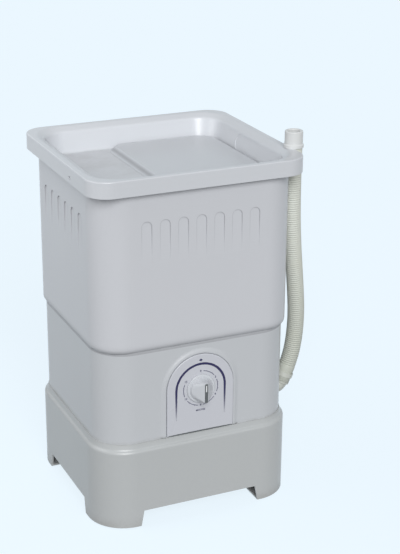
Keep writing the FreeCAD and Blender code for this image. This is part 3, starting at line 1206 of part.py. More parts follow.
def v_belt():
    """Belt of trapezoid section round both pulleys."""
    body = new_body("v_belt")
    path = new_sketch(body, "path", offset=PULLEY_Z)
    big, small = f"(pulley_radius - {BELT_MIDDLE})", f"(motor_pulley_radius - {BELT_MIDDLE})"
    r_big, r_small, span = value(big), value(small), value("motor_offset")
    lean = math.asin((r_big - r_small) / span)
    ring_big = Part.Circle(Vector(), Vector(0, 0, 1), r_big)
    ring_small = Part.Circle(Vector(0, span, 0), Vector(0, 0, 1), r_small)
    right = Part.ArcOfCircle(ring_big, -math.pi / 2, lean)
    far = Part.ArcOfCircle(ring_small, lean, math.pi - lean)
    left = Part.ArcOfCircle(ring_big, math.pi - lean, 3 * math.pi / 2)
    arcs = [path.addGeometry(item) for item in (right, far, left)]
    runs = [path.addGeometry(Part.LineSegment(right.EndPoint, far.StartPoint)),
            path.addGeometry(Part.LineSegment(far.EndPoint, left.StartPoint))]
    for first, second in ((arcs[0], runs[0]), (runs[0], arcs[1]), (arcs[1], runs[1]), (runs[1], arcs[2])):
        path.addConstraint(Sketcher.Constraint("Tangent", first, 2, second, 1))
    path.addConstraint(Sketcher.Constraint("Coincident", arcs[2], 2, arcs[0], 1))
    path.addConstraint(Sketcher.Constraint("PointOnObject", arcs[0], 1, -2))
    for arc, radius, at in ((arcs[0], big, "0"), (arcs[1], small, "motor_offset"), (arcs[2], None, "0")):
        pin_point(path, arc, 3, ("0", at))
        if radius:
            limit(path, Sketcher.Constraint("Radius", arc, value(radius)), radius)
    section = new_sketch(body, "section", "YZ_Plane")
    outer, inner = "belt_sink - pulley_radius", "belt_sink + belt_height - pulley_radius"
    polygon(section, [(outer, f"{PULLEY_Z} - belt_back / 2"), (inner, f"{PULLEY_Z} - belt_foot / 2"),
                      (inner, f"{PULLEY_Z} + belt_foot / 2"), (outer, f"{PULLEY_Z} + belt_back / 2")])
    pipe = feature(body, "AdditivePipe", section)
    pipe.Spine = (path, [])
    doc.recompute()
    return keep("v_belt", body)


# Motor

def motor():
    """Motor hung under its bracket: case, shields, stator, rotor, bearings and shaft."""
    at_y = "motor_offset"
    case_top = f"({MOTOR_TOP} - shield_thickness)"
    case_foot = f"({MOTOR_TOP} - shield_thickness - motor_length)"
    foot = f"({MOTOR_TOP} - 2 * shield_thickness - motor_length)"
    keep("motor_case", tube("motor_case", "motor_radius", "motor_radius - motor_wall", "motor_length",
                            ("0", at_y, case_foot)))
    stator_foot = f"({case_foot} + motor_length / 2 - stator_length / 2)"
    stator_top = f"({stator_foot} + stator_length)"
    outside = "motor_radius - motor_wall - fit_gap"
    winding = "stator_bore + winding_wall"
    keep("motor_stator", turned("motor_stator", [
        ("stator_bore", case_foot), (winding, case_foot), (winding, stator_foot), (outside, stator_foot),
        (outside, stator_top), (winding, stator_top), (winding, case_top), ("stator_bore", case_top)],
        ("0", at_y, "0")))
    keep("motor_rotor", tube("motor_rotor", "stator_bore - air_gap", "motor_shaft_radius + fit_gap",
                             "stator_length",
                             ("0", at_y, stator_foot)))
    bearing = "motor_bearing"
    for label, low, pocket_low in (("motor_upper_shield", case_top, case_top),
                                   ("motor_lower_shield", foot, f"{case_foot} - {bearing}")):
        disc = cylinder(f"{label}_disc", "motor_radius", "shield_thickness", ("0", at_y, low))
        tools = [cylinder(f"{label}_seat", "motor_bearing_radius + fit_gap", bearing,
                          ("0", at_y, pocket_low))]
        if label == "motor_upper_shield":
            tools.append(cylinder("upper_shield_bore", "motor_shaft_radius + 2 * running_gap",
                                  "shield_thickness",
                                  ("0", at_y, low)))
            tools += on_circle("shield_drill", shield_drill, "motor_bolt_count", "motor_bolt_circle", at_y)
        keep(label, cut(label, disc, tools))
    inner = "motor_shaft_radius + bush_clearance"
    keep("motor_bearings", group("motor_bearings", [
        tube("lower_bearing", "motor_bearing_radius", inner, bearing,
             ("0", at_y, f"{case_foot} - {bearing}")),
        tube("upper_bearing", "motor_bearing_radius", inner, bearing, ("0", at_y, case_top))]))
    shaft_foot = f"({case_foot} - {bearing} + running_gap)"
    collar_foot = f"({stator_foot} - rotor_collar)"
    thick, thin = "motor_shaft_radius", "motor_shaft_radius - motor_shaft_step"
    shaft_top = f"{PULLEY_Z} + pulley_width / 2 + motor_shaft_step"
    keep("motor_shaft", turned("motor_shaft", [
        ("0", shaft_foot), (thick, shaft_foot), (thick, collar_foot),
        (f"{thick} + rotor_collar", collar_foot),
        (f"{thick} + rotor_collar", stator_foot), (thick, stator_foot), (thick, MOTOR_HUB_FOOT),
        (thin, MOTOR_HUB_FOOT), (thin, shaft_top), ("0", shaft_top)], ("0", at_y, "0")))


def shield_drill(name, x, y):
    """Bolt hole in the motor's upper shield."""
    return cylinder(name, "bolt_radius + fit_gap", "shield_thickness * 0.7",
                    (x, y, f"{MOTOR_TOP} - shield_thickness * 0.7"))


def motor_bracket():
    """Sheet bracket across the deck's opening, its rubber mounts, screws and the motor bolts."""
    body = new_body("bracket_body")
    sheet_sketch = new_sketch(body, "sheet", offset=BRACKET_FOOT)
    rounded_rectangle(sheet_sketch, "bracket_length", "bracket_width", "bracket_corner",
                      ("0", "motor_offset"))
    pad(body, sheet_sketch, "bracket_sheet")
    tools = [cylinder("bracket_shaft_hole", "bracket_hole", "bracket_sheet",
                      ("0", "motor_offset", BRACKET_FOOT))]

    def bolt_hole(name, x, y):
        return cylinder(name, "bolt_radius + fit_gap", "bracket_sheet", (x, y, BRACKET_FOOT))

    def mount_hole(name, x, y):
        return cylinder(name, "bolt_radius + fit_gap", "bracket_sheet",
                        (x, f"motor_offset + {y}", BRACKET_FOOT))

    def bolt(name, x, y):
        return screw(name, (x, y, f"{BRACKET_FOOT} + bracket_sheet"), "z",
                     "bracket_sheet + shield_thickness * 0.6",
                     sign=-1, head=("bolt_head_radius * 0.7", "bolt_head * 0.8", "bolt_radius"))

    def mount(name, x, y):
        return tube(name, "mount_radius", "bolt_radius + fit_gap", "mount_height",
                    (x, f"motor_offset + {y}", BASE_TOP))

    def mount_screw(name, x, y):
        return screw(name, (x, f"motor_offset + {y}", f"{BRACKET_FOOT} + bracket_sheet"), "z",
                     "bracket_sheet + mount_height + base_deck + screw_tail", sign=-1,
                     head=("bolt_head_radius * 0.8", "bolt_head * 0.7", "bolt_radius"))
    half_x, half_y = "mount_spread_x / 2", "mount_spread_y / 2"
    tools += on_circle("bracket_bolt_hole", bolt_hole, "motor_bolt_count", "motor_bolt_circle",
                       "motor_offset")
    tools += four("bracket_mount_hole", mount_hole, half_x, half_y)
    keep("motor_bracket", cut("motor_bracket", body, tools))
    keep("motor_bolts", group("motor_bolts", on_circle(
        "motor_bolt", bolt, "motor_bolt_count", "motor_bolt_circle", "motor_offset")))
    keep("rubber_mounts", group("rubber_mounts", four("rubber_mount", mount, half_x, half_y)))
    keep("bracket_screws", group("bracket_screws", four("bracket_screw", mount_screw, half_x, half_y)))


# Electrics on the deck's ledge

def electrics():
    """Capacitor in its clip, terminal block and their screws."""
    x, y = LEDGE_X, "-capacitor_place"
    keep("capacitor", cylinder("capacitor", "capacitor_radius", "capacitor_length",
                               (x, y, f"{BASE_TOP} + clip_wall")))
    cup = cylinder("clip_cup", "capacitor_radius + fit_gap + clip_wall", "clip_height", (x, y, BASE_TOP))
    tab = block("clip_tab_plate", ("2 * (screw_head_radius + clip_margin)", "clip_tab + clip_wall",
                                   "clip_wall"),
                (f"{x} - screw_head_radius - clip_margin", f"{y} + capacitor_radius + fit_gap", BASE_TOP))
    bore = cylinder("clip_bore", "capacitor_radius + fit_gap", "clip_height",
                    (x, y, f"{BASE_TOP} + clip_wall"))
    drill = cylinder("clip_drill", "screw_radius + fit_gap", "clip_wall", (x, CLIP_SCREW_Y, BASE_TOP))
    keep("capacitor_clip", cut("capacitor_clip", fuse("clip_shell", [cup, tab]), [bore, drill]))
    box = block("terminal_box", ("terminal_width", "terminal_length", "terminal_height"),
                (f"-{x} - terminal_width / 2", "-terminal_place - terminal_length / 2", BASE_TOP))
    keep("terminal_block", cut("terminal_block", box,
                               terminal_holes("terminal_hole", BASE_TOP, "terminal_height")))
    screws = [screw("clip_screw", (x, CLIP_SCREW_Y, f"{BASE_TOP} + clip_wall"), "z",
                    "clip_wall + base_deck", sign=-1)]
    for i, side in enumerate((-1, 1)):
        at = (f"-{x}", f"-terminal_place + {side} * terminal_hole_spread / 2",
              f"{BASE_TOP} + terminal_height")
        screws.append(screw(f"terminal_screw{i}", at, "z", "terminal_height + base_deck", sign=-1))
    keep("electric_screws", group("electric_screws", screws))


def cord_gland():
    """Gland in the back wall, where the power cord enters."""
    back = f"({CABINET_FRONT} - moulded_wall)"
    stem = cylinder("gland_stem", "gland_radius", "gland_inside + moulded_wall + 2 * gland_flange",
                    (f"-{GLAND_X}", f"{back} - gland_inside", GLAND_Z), "y")
    relief = cylinder("gland_relief", "gland_tail", "moulded_wall + gland_outside",
                      (f"-{GLAND_X}", back, GLAND_Z), "y")
    collar = cylinder("gland_ring", "gland_collar", "gland_flange",
                      (f"-{GLAND_X}", f"{back} + moulded_wall", GLAND_Z), "y")
    nut = cylinder("gland_nut", "gland_collar", "gland_inside / 2",
                   (f"-{GLAND_X}", f"{back} - gland_inside / 2", GLAND_Z), "y")
    bore = cylinder("gland_hole_through", "gland_bore", "gland_inside + moulded_wall + gland_outside",
                    (f"-{GLAND_X}", f"{back} - gland_inside", GLAND_Z), "y")
    return keep("cord_gland", cut("cord_gland", fuse("gland_shell", [stem, relief, collar, nut]), [bore]))


# Pipes, leads and the hose: round sections along straight runs and tangent arcs

def route_wire(points, radii):
    """Wire of straight runs with a tangent arc at each inner point."""
    edges, start = [], points[0]
    for before, corner, after, radius in zip(points, points[1:], points[2:], radii):
        back, ahead = (before - corner).normalize(), (after - corner).normalize()
        turn = math.pi - back.getAngle(ahead)
        reach = radius * math.tan(turn / 2)
        enter, leave = corner + back * reach, corner + ahead * reach
        middle = (back + ahead).normalize()
        summit = corner + middle * (radius / math.cos(turn / 2) - radius)
        edges.append(Part.LineSegment(start, enter).toShape())
        edges.append(Part.Arc(enter, summit, leave).toShape())
        start = leave
    edges.append(Part.LineSegment(start, points[-1]).toShape())
    return Part.Wire(edges)


def round_sweep(wire, radius):
    """Solid of a round section along a wire."""
    start = wire.Edges[0]
    ring = Part.Circle(start.Vertexes[0].Point, start.tangentAt(start.FirstParameter), radius)
    solid = wire.makePipeShell([Part.Wire(ring.toShape())], True, False)
    expected = math.pi * radius ** 2 * wire.Length
    if abs(solid.Volume / expected - 1) > 0.01:
        raise RuntimeError("a swept tube has the wrong volume")
    return solid


def spot(x, y, z):
    """Point from three expressions."""
    return Vector(value(x), value(y), value(z))


def shaped(label, shape):
    """Sub-part with a shape that no sketch feature makes."""
    item = doc.addObject("Part::Feature", label)
    item.Shape = shape
    item.Placement = FreeCAD.Placement()
    return keep(label, item)


def outlet():
    """End of the drain pipe outside the cabinet: its place and direction."""
    lean = math.radians(value("outlet_tilt"))
    along = Vector(math.sin(lean), 0, math.cos(lean))
    corner = spot(f"{CABINET_SIDE} + outlet_reach", "-drain_y", OUTLET_Z)
    return corner, corner + along * value("outlet_rise"), along


def drain_parts():
    """Strainer, drain pipe with its flange and collar, and the hose clamp."""
    body = new_body("drain_strainer")
    disc = new_sketch(body, "disc", offset=TUB_BED)
    circle(disc, "strainer_radius")
    pad(body, disc, "strainer_sheet")
    ring = new_sketch(body, "ring", offset=TUB_BED)
    circle(ring, "strainer_hole", ("strainer_circle", "0"))
    hole = pocket(body, ring, "strainer_sheet", Reversed=True)
    axis = next(item for item in body.Origin.OriginFeatures if item.Role == "Z_Axis")
    repeat(body, hole, "PolarPattern", (axis, [""]), Angle=360.0, Occurrences="strainer_hole_count")
    place(body, ("drain_x", "-drain_y", "0"))
    keep("drain_strainer", body)
    corner, end, along = outlet()
    top = spot("drain_x", "-drain_y", "step_height")
    elbow = spot("drain_x", "-drain_y", OUTLET_Z)
    wire = route_wire([top, elbow, corner, end], [value("pipe_bend"), value("outlet_bend")])
    collar_length = value("outlet_collar")
    solid = round_sweep(wire, value("pipe_radius"))
    flange = Part.makeCylinder(value("strainer_radius"), value("pipe_flange"),
                               top - Vector(0, 0, value("pipe_flange")))
    collar = Part.makeCylinder(value("hose_radius"), collar_length, end - along * collar_length, along)
    pipe = solid.fuse([flange, collar]).cut(round_sweep(wire, value("pipe_bore")))
    shaped("drain_elbow", pipe.removeSplitter())
    inner = "hose_radius + fit_gap"
    up_pipe = "(outlet_rise + clamp_place)"
    at = (f"{CABINET_SIDE} + outlet_reach + {up_pipe} * sin(outlet_tilt)", "-drain_y",
          f"{OUTLET_Z} + {up_pipe} * cos(outlet_tilt)")
    clamp = tube("hose_clamp", f"{inner} + clamp_wall", inner, "clamp_width", at)
    for ring in (clamp.Base, clamp.Tool):
        ring.Placement.Rotation = FreeCAD.Rotation(Vector(0, 1, 0), 1)
        bind(ring, "Placement.Rotation.Angle", "outlet_tilt")
    keep("hose_clamp", clamp)


# Hose route between its first and last runs: share of the bow, of the way forward and of the way up
HOSE_ROUTE = ((0.91, 0.1, 0.176), (1, 0.267, 0.29), (0.745, 0.5, 0.418), (0.22, 0.867, 0.617))


def hose_points():
    """Points of the hose's route, from the outlet to the end fitting on the rim."""
    _, end, along = outlet()
    top = spot(HOSE_X, HOSE_Y, "overall_height")
    bow = value("hose_bow")
    inner = [Vector(top.x + out * bow, end.y + forward * (top.y - end.y), end.z + up * (top.z - end.z))
             for out, forward, up in HOSE_ROUTE]
    below = top - Vector(0, 0, value("hose_last_run"))
    return [end, end + along * value("hose_first_run")] + inner + [below, top]


def bend_radii(points):
    """Largest fair arc at each inner point: 0.45 of the shorter run over the tangent of half the turn."""
    radii = []
    for before, corner, after in zip(points, points[1:], points[2:]):
        back, ahead = before - corner, after - corner
        turn = math.pi - back.getAngle(ahead)
        radii.append(0.45 * min(back.Length, ahead.Length) / math.tan(turn / 2))
    return radii


def place_along(wire, distance):
    """Point and direction at a distance along a wire."""
    for edge in wire.OrderedEdges:
        if distance <= edge.Length + 1e-6:
            parameter = edge.getParameterByLength(min(distance, edge.Length))
            return edge.valueAt(parameter), edge.tangentAt(parameter)
        distance -= edge.Length
    return edge.valueAt(edge.LastParameter), edge.tangentAt(edge.LastParameter)


def ring_at(wire, distance, radius):
    """Circle square to a wire, with its X axis steady."""
    point, along = place_along(wire, distance)
    turn = FreeCAD.Rotation(Vector(0, 1, 0).cross(along), Vector(0, 1, 0), along, "ZYX")
    ring = Part.Wire(Part.Circle(Vector(), Vector(0, 0, 1), radius).toShape())
    ring.Placement = FreeCAD.Placement(point, turn)
    return ring


def drain_hose():
    """Ribbed hose: four circles a rib, straight between them, with plain cuffs and a bore."""
    points = hose_points()
    radii = bend_radii(points)
    wire = route_wire(points, radii)
    print("hose length", round(wire.Length, 1), "bend radii", [round(radius) for radius in radii])
    crest, valley, cuff = value("hose_radius"), value("hose_valley"), value("hose_cuff")
    ribs = int(value("hose_ribs"))
    pitch = (wire.Length - 2 * cuff) / ribs
    stations = [(0, crest)]
    for rib in range(ribs):
        foot = cuff + rib * pitch
        stations += [(foot, crest), (foot + 0.2 * pitch, valley), (foot + 0.45 * pitch, valley),
                     (foot + 0.65 * pitch, crest)]
    stations += [(wire.Length - cuff, crest), (wire.Length, crest)]
    rings = [ring_at(wire, distance, radius) for distance, radius in stations]
    outside = Part.makeLoft(rings, True, True)
    bore = round_sweep(wire, value("hose_bore"))
    hose = outside.cut(bore)
    plain = math.pi * (crest ** 2 - value("hose_bore") ** 2) * wire.Length
    print("hose volume", round(hose.Volume), "of a plain tube's", round(plain))
    return shaped("drain_hose", hose)


def hose_nozzle():
    """End fitting of the hose, with a collar that rests on the rim."""
    body = turned("hose_nozzle", [
        ("nozzle_bore", "0"), ("nozzle_collar_radius", "0"), ("nozzle_collar_radius", "nozzle_collar"),
        ("nozzle_radius", "nozzle_collar + nozzle_bevel"), ("nozzle_radius", "nozzle_height"),
        ("nozzle_bore", "nozzle_height")], (HOSE_X, HOSE_Y, "overall_height"))
    round_edges(body, at_height("nozzle_height"), "nozzle_round")
    return keep("hose_nozzle", body)


def leads():
    """Inner leads from the terminal block to the motor, the timer and the gland."""
    level = f"{BASE_TOP} + terminal_height / 2"
    block_front = "-terminal_place - terminal_length / 2"
    block_back = "-terminal_place + terminal_length / 2"
    case_middle = f"{MOTOR_TOP} - shield_thickness - motor_length / 2"
    aisle = "-deck_width / 2 + lead_bend + lead_aisle"
    clear = "motor_offset - bracket_width / 2 - lead_clearance"
    motor_end, supply_end = f"-{LEDGE_X} - lead_spread", f"-{LEDGE_X} + lead_spread"
    timer_y = f"moulded_wall - {CABINET_FRONT} + timer_deep / 2"
    routes = {
        "motor_lead": [("-motor_radius", "motor_offset", case_middle), (aisle, "motor_offset", case_middle),
                       (aisle, clear, case_middle), (aisle, clear, level), (motor_end, clear, level),
                       (motor_end, block_back, level)],
        "timer_lead": [("-timer_width / 2", timer_y, KNOB_Z), (f"-{LEDGE_X}", timer_y, KNOB_Z),
                       (f"-{LEDGE_X}", timer_y, level), (f"-{LEDGE_X}", block_front, level)],
        "supply_lead": [(f"-{GLAND_X}", f"{CABINET_FRONT} - moulded_wall - gland_inside", GLAND_Z),
                        (f"-{GLAND_X}", "lead_bend", GLAND_Z), (supply_end, "lead_bend", level),
                        (supply_end, block_back, level)]}
    for label, route in routes.items():
        points = [spot(*at) for at in route]
        bends = [min(value("lead_bend"), fair) for fair in bend_radii(points)]
        shaped(label, round_sweep(route_wire(points, bends), value("lead_radius")))


base_stand()
foot_pads()
lower_cabinet()
rear_cover()
casing_screws()
wash_tub()
top_deck()
deck_screws()
lid_panel()
control_panel()
timer()
timer_knob()
shaft_bearings()
drive_shaft()
pulsator()
pulsator_screw()
driven_pulley()
motor_pulley()
v_belt()
motor()
motor_bracket()
electrics()
cord_gland()
drain_parts()
drain_hose()
hose_nozzle()
leads()
doc.recompute()

for item in doc.Objects:
    if "Invalid" in item.State or "Error" in item.State:
        raise RuntimeError(f"{item.Name} failed: {item.State}")
for label, item in nodes.items():
    if item.Shape.isNull() or not item.Shape.isValid() or not item.Shape.Solids:
        raise RuntimeError(f"{label} has no valid shape")

os.makedirs("parts", exist_ok=True)
for label, item in nodes.items():
    item.Shape.exportStep(f"parts/{label}.step")
print(len(nodes), "sub-parts written")
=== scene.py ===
import logging
import math
from dataclasses import dataclass
from enum import Enum
from functools import cache
from typing import Iterable, Sequence, Union

import bpy
import numpy as np
from mathutils import Matrix, Vector


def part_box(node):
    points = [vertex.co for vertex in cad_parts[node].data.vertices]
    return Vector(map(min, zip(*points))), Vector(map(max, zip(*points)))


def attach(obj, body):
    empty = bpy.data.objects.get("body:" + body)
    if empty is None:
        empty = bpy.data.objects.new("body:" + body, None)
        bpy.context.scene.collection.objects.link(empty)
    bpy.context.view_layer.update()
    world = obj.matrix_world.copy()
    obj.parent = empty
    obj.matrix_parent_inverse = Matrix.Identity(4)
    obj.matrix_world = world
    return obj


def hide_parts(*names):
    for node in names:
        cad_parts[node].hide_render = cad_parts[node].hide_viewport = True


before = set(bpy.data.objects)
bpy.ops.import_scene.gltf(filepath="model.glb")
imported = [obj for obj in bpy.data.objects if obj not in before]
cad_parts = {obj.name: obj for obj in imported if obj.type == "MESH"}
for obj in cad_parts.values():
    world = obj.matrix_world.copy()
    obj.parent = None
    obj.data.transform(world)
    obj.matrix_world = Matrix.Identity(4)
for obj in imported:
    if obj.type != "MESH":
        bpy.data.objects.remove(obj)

LOG = logging.getLogger("washing_machine")
MM = 0.001
Colour = tuple[float, float, float]
Point = tuple[float, float, float]
Number = Union[float, "Shade"]
Inputs = dict[Union[int, str], Union[Number, Colour]]


class Body(str, Enum):
    """Bodies that the new pieces ride on."""

    MACHINE = "machine"
    KNOB = "knob"


class Lay(Enum):
    """How the tool marks of a metal run."""

    PLAIN = "along"
    TURNED = "round an axis"
    CAST = "grainy"
    STACKED = "sheet on sheet"


def srgb(red: int, green: int, blue: int) -> Colour:
    """Linear colour of a screen colour whose channels go from 0 to 255."""
    shares = (channel / 255 for channel in (red, green, blue))
    return tuple(c / 12.92 if c <= 0.04045 else ((c + 0.055) / 1.055) ** 2.4 for c in shares)


def tinted(colour: Colour, *factors: float) -> Colour:
    """A colour times one factor, or times one for each channel, and at most white."""
    return tuple(min(1.0, c * f) for c, f in zip(colour, factors * 3))


# Shader graphs


class Shade:
    """A shader socket that takes part in Python arithmetic; each operation adds one Math node."""

    def __init__(self, graph: "Graph", socket: bpy.types.NodeSocket | None) -> None:
        """Wraps an output socket of a graph."""
        self.graph = graph
        self.socket = socket

    def _math(self, operation: str, *values: Number, clamp: bool = False) -> "Shade":
        """Result of a new Math node on operands in order; the clamp keeps it between 0 and 1."""
        settings = {"operation": operation, "use_clamp": clamp}
        return self.graph.node("ShaderNodeMath", settings, dict(enumerate(values)))

    def __add__(self, other: Number) -> "Shade":
        """Sum."""
        return self._math("ADD", self, other)

    def __sub__(self, other: Number) -> "Shade":
        """Difference."""
        return self._math("SUBTRACT", self, other)

    def __rsub__(self, other: Number) -> "Shade":
        """Difference from a number."""
        return self._math("SUBTRACT", other, self)

    def __mul__(self, other: Number) -> "Shade":
        """Product."""
        return self._math("MULTIPLY", self, other)

    __radd__ = __add__
    __rmul__ = __mul__

    def swing(self, amount: float) -> "Shade":
        """A value from 0 to 1 turned into one from minus to plus half the amount."""
        return (self - 0.5) * amount

    def clamped(self) -> "Shade":
        """The value kept between 0 and 1."""
        return self._math("ADD", self, 0.0, clamp=True)

    def size(self) -> "Shade":
        """The value without its sign."""
        return self._math("ABSOLUTE", self)

    def root(self) -> "Shade":
        """Square root of the value."""
        return self._math("SQRT", self)

    def wave(self, pitch: float) -> "Shade":
        """Sine wave from 0 to 1 that repeats each pitch of the value."""
        return self._math("SINE", self * (2 * math.pi / pitch)) * 0.5 + 0.5

    def folded(self, half: float) -> "Shade":
        """Distance from the value to the nearest whole multiple of twice the half."""
        return self._math("PINGPONG", self, half)

    def larger(self, other: Number) -> "Shade":
        """The larger of two values."""
        return self._math("MAXIMUM", self, other)

    def step(self, low: float, high: float) -> "Shade":
        """Smooth step.

        Args:
            low: Value that gives 0.
            high: Value that gives 1; it may be below low.

        Returns:
            A value that eases from 0 to 1.
        """
        flip = high < low
        inputs = {"Value": self, 1: min(low, high), 2: max(low, high), 3: float(flip), 4: float(not flip)}
        return self.graph.node("ShaderNodeMapRange", {"interpolation_type": "SMOOTHSTEP"}, inputs)


class Graph:
    """Node graph of a new material or world."""

    def __init__(self, owner: bpy.types.Material | bpy.types.World) -> None:
        """Empties the owner's node tree.

        Args:
            owner: The material or world.
        """
        owner.use_nodes = True
        self.owner = owner
        self.tree = owner.node_tree
        self.tree.nodes.clear()
        self._place: Shade | None = None

    def node(self, kind: str, settings: dict | None = None, inputs: Inputs | None = None,
             output: int | str = 0) -> Shade:
        """Adds any node.

        Args:
            kind: The node's type.
            settings: Properties that are set first.
            inputs: Values or links by socket name or index.
            output: Socket that is returned.

        Returns:
            The chosen output, or an empty one where the node has none.
        """
        item = self.tree.nodes.new(kind)
        for key, setting in (settings or {}).items():
            setattr(item, key, setting)
        for key, given in (inputs or {}).items():
            self.feed(item.inputs[key], given)
        return Shade(self, item.outputs[output] if item.outputs else None)

    def feed(self, socket: bpy.types.NodeSocket, given: Number | Sequence[float]) -> None:
        """Links or sets one input.

        Args:
            socket: The input.
            given: A wrapped output, a number, or three numbers.
        """
        if isinstance(given, Shade):
            self.tree.links.new(given.socket, socket)
        elif isinstance(given, (int, float)):
            socket.default_value = given
        else:
            wide = len(socket.default_value)
            socket.default_value = tuple(given) + (1.0,) * (wide - len(given))

    def shown(self, shader: Shade) -> bpy.types.Material | bpy.types.World:
        """Links a shader to the owner's output and returns the owner.

        Args:
            shader: The shader.

        Returns:
            The owner.
        """
        world = isinstance(self.owner, bpy.types.World)
        self.node("ShaderNodeOutputWorld" if world else "ShaderNodeOutputMaterial", None, {"Surface": shader})
        return self.owner

    @property
    def place(self) -> Shade:
        """Object coordinates, which are the machine's own metres.

        Returns:
            The coordinates, from one node for the whole graph.
        """
        if self._place is None:
            self._place = self.node("ShaderNodeTexCoord", output="Object")
        return self._place

    def axis(self, letter: str) -> Shade:
        """One object coordinate, by its letter."""
        return self.node("ShaderNodeSeparateXYZ", None, {0: self.place}, letter)

    def attribute(self, name: str) -> Shade:
        """A number kept on the mesh's points."""
        return self.node("ShaderNodeAttribute", {"attribute_name": name}, output="Fac")

    def stretched(self, scale: Point, move: Point = (0, 0, 0)) -> Shade:
        """Object coordinates moved and then scaled along each axis."""
        inputs = {"Vector": self.place, "Location": move, "Scale": tuple(1 / s for s in scale)}
        return self.node("ShaderNodeMapping", {"vector_type": "TEXTURE"}, inputs)

    def noise(self, scale: float, detail: float = 3.0, rough: float = 0.5,
              where: Shade | None = None) -> Shade:
        """Noise from 0 to 1, with scale in features to the metre, at object coordinates or where given."""
        inputs = {"Vector": where or self.place, "Scale": scale, "Detail": detail, "Roughness": rough}
        return self.node("ShaderNodeTexNoise", None, inputs)

    def cells(self, scale: float) -> Shade:
        """Distance to the nearest of scattered points."""
        return self.node("ShaderNodeTexVoronoi", None, {"Vector": self.place, "Scale": scale})

    def mix(self, share: Number, first: Shade | Colour, second: Shade | Colour) -> Shade:
        """Colour between two colours: the first at a share of 0, the second at 1."""
        inputs = {0: share, 6: first, 7: second}
        return self.node("ShaderNodeMix", {"data_type": "RGBA"}, inputs, 2)

    def bump(self, height: Shade, depth: float, strength: float = 0.5, below: Shade | None = None) -> Shade:
        """Bumped normal.

        Args:
            height: Height from 0 to 1.
            depth: Metres between 0 and 1.
            strength: Share of the effect.
            below: A bumped normal that this one lies on.

        Returns:
            The normal.
        """
        inputs: Inputs = {"Height": height, "Distance": depth, "Strength": strength}
        if below is not None:
            inputs["Normal"] = below
        return self.node("ShaderNodeBump", None, inputs)

    def in_sight(self) -> Shade:
        """1 for rays of the camera, of gloss and of glass, and 0 for all others.

        Returns:
            That share.
        """
        camera = self.node("ShaderNodeLightPath", output="Is Camera Ray")
        rays = camera.socket.node.outputs
        gloss, glass = (Shade(self, rays[name]) for name in ("Is Glossy Ray", "Is Transmission Ray"))
        return camera.larger(gloss).larger(glass)


# Finishes

# COPPER_SHADE is copper darkened as painted shade between the strands of a winding.
COPPER, COPPER_SHADE = (0.52, 0.20, 0.07), (0.20, 0.055, 0.018)
DUST, RUBBER_DUST, BARE_STEEL = (0.34, 0.32, 0.29), (0.23, 0.225, 0.215), (0.36, 0.34, 0.33)


@dataclass(frozen=True)
class Finish:
    """Looks of one kind of surface.

    Attributes:
        name: Material name.
        colour: Main colour.
    """

    name: str
    colour: Colour

    @cache
    def material(self) -> bpy.types.Material:
        """Material of the finish, built once: a Principled shader with the finish's own inputs."""
        g = Graph(bpy.data.materials.new(self.name))
        return g.shown(g.node("ShaderNodeBsdfPrincipled", None, self.inputs(g)))

    def inputs(self, g: Graph) -> Inputs:
        """Inputs of the shader by socket name, which each kind of finish works out for itself."""
        raise NotImplementedError


@dataclass(frozen=True)
class DirtAndShadeBand:
    """A soft darker band round the machine at one height, in metres: dirt in some finishes, painted shade in
    others.

    Attributes:
        height: Middle of the band above the floor.
        reach: Half the band's height.
        depth: Share of the band's colour at its middle.
    """

    height: float
    reach: float
    depth: float


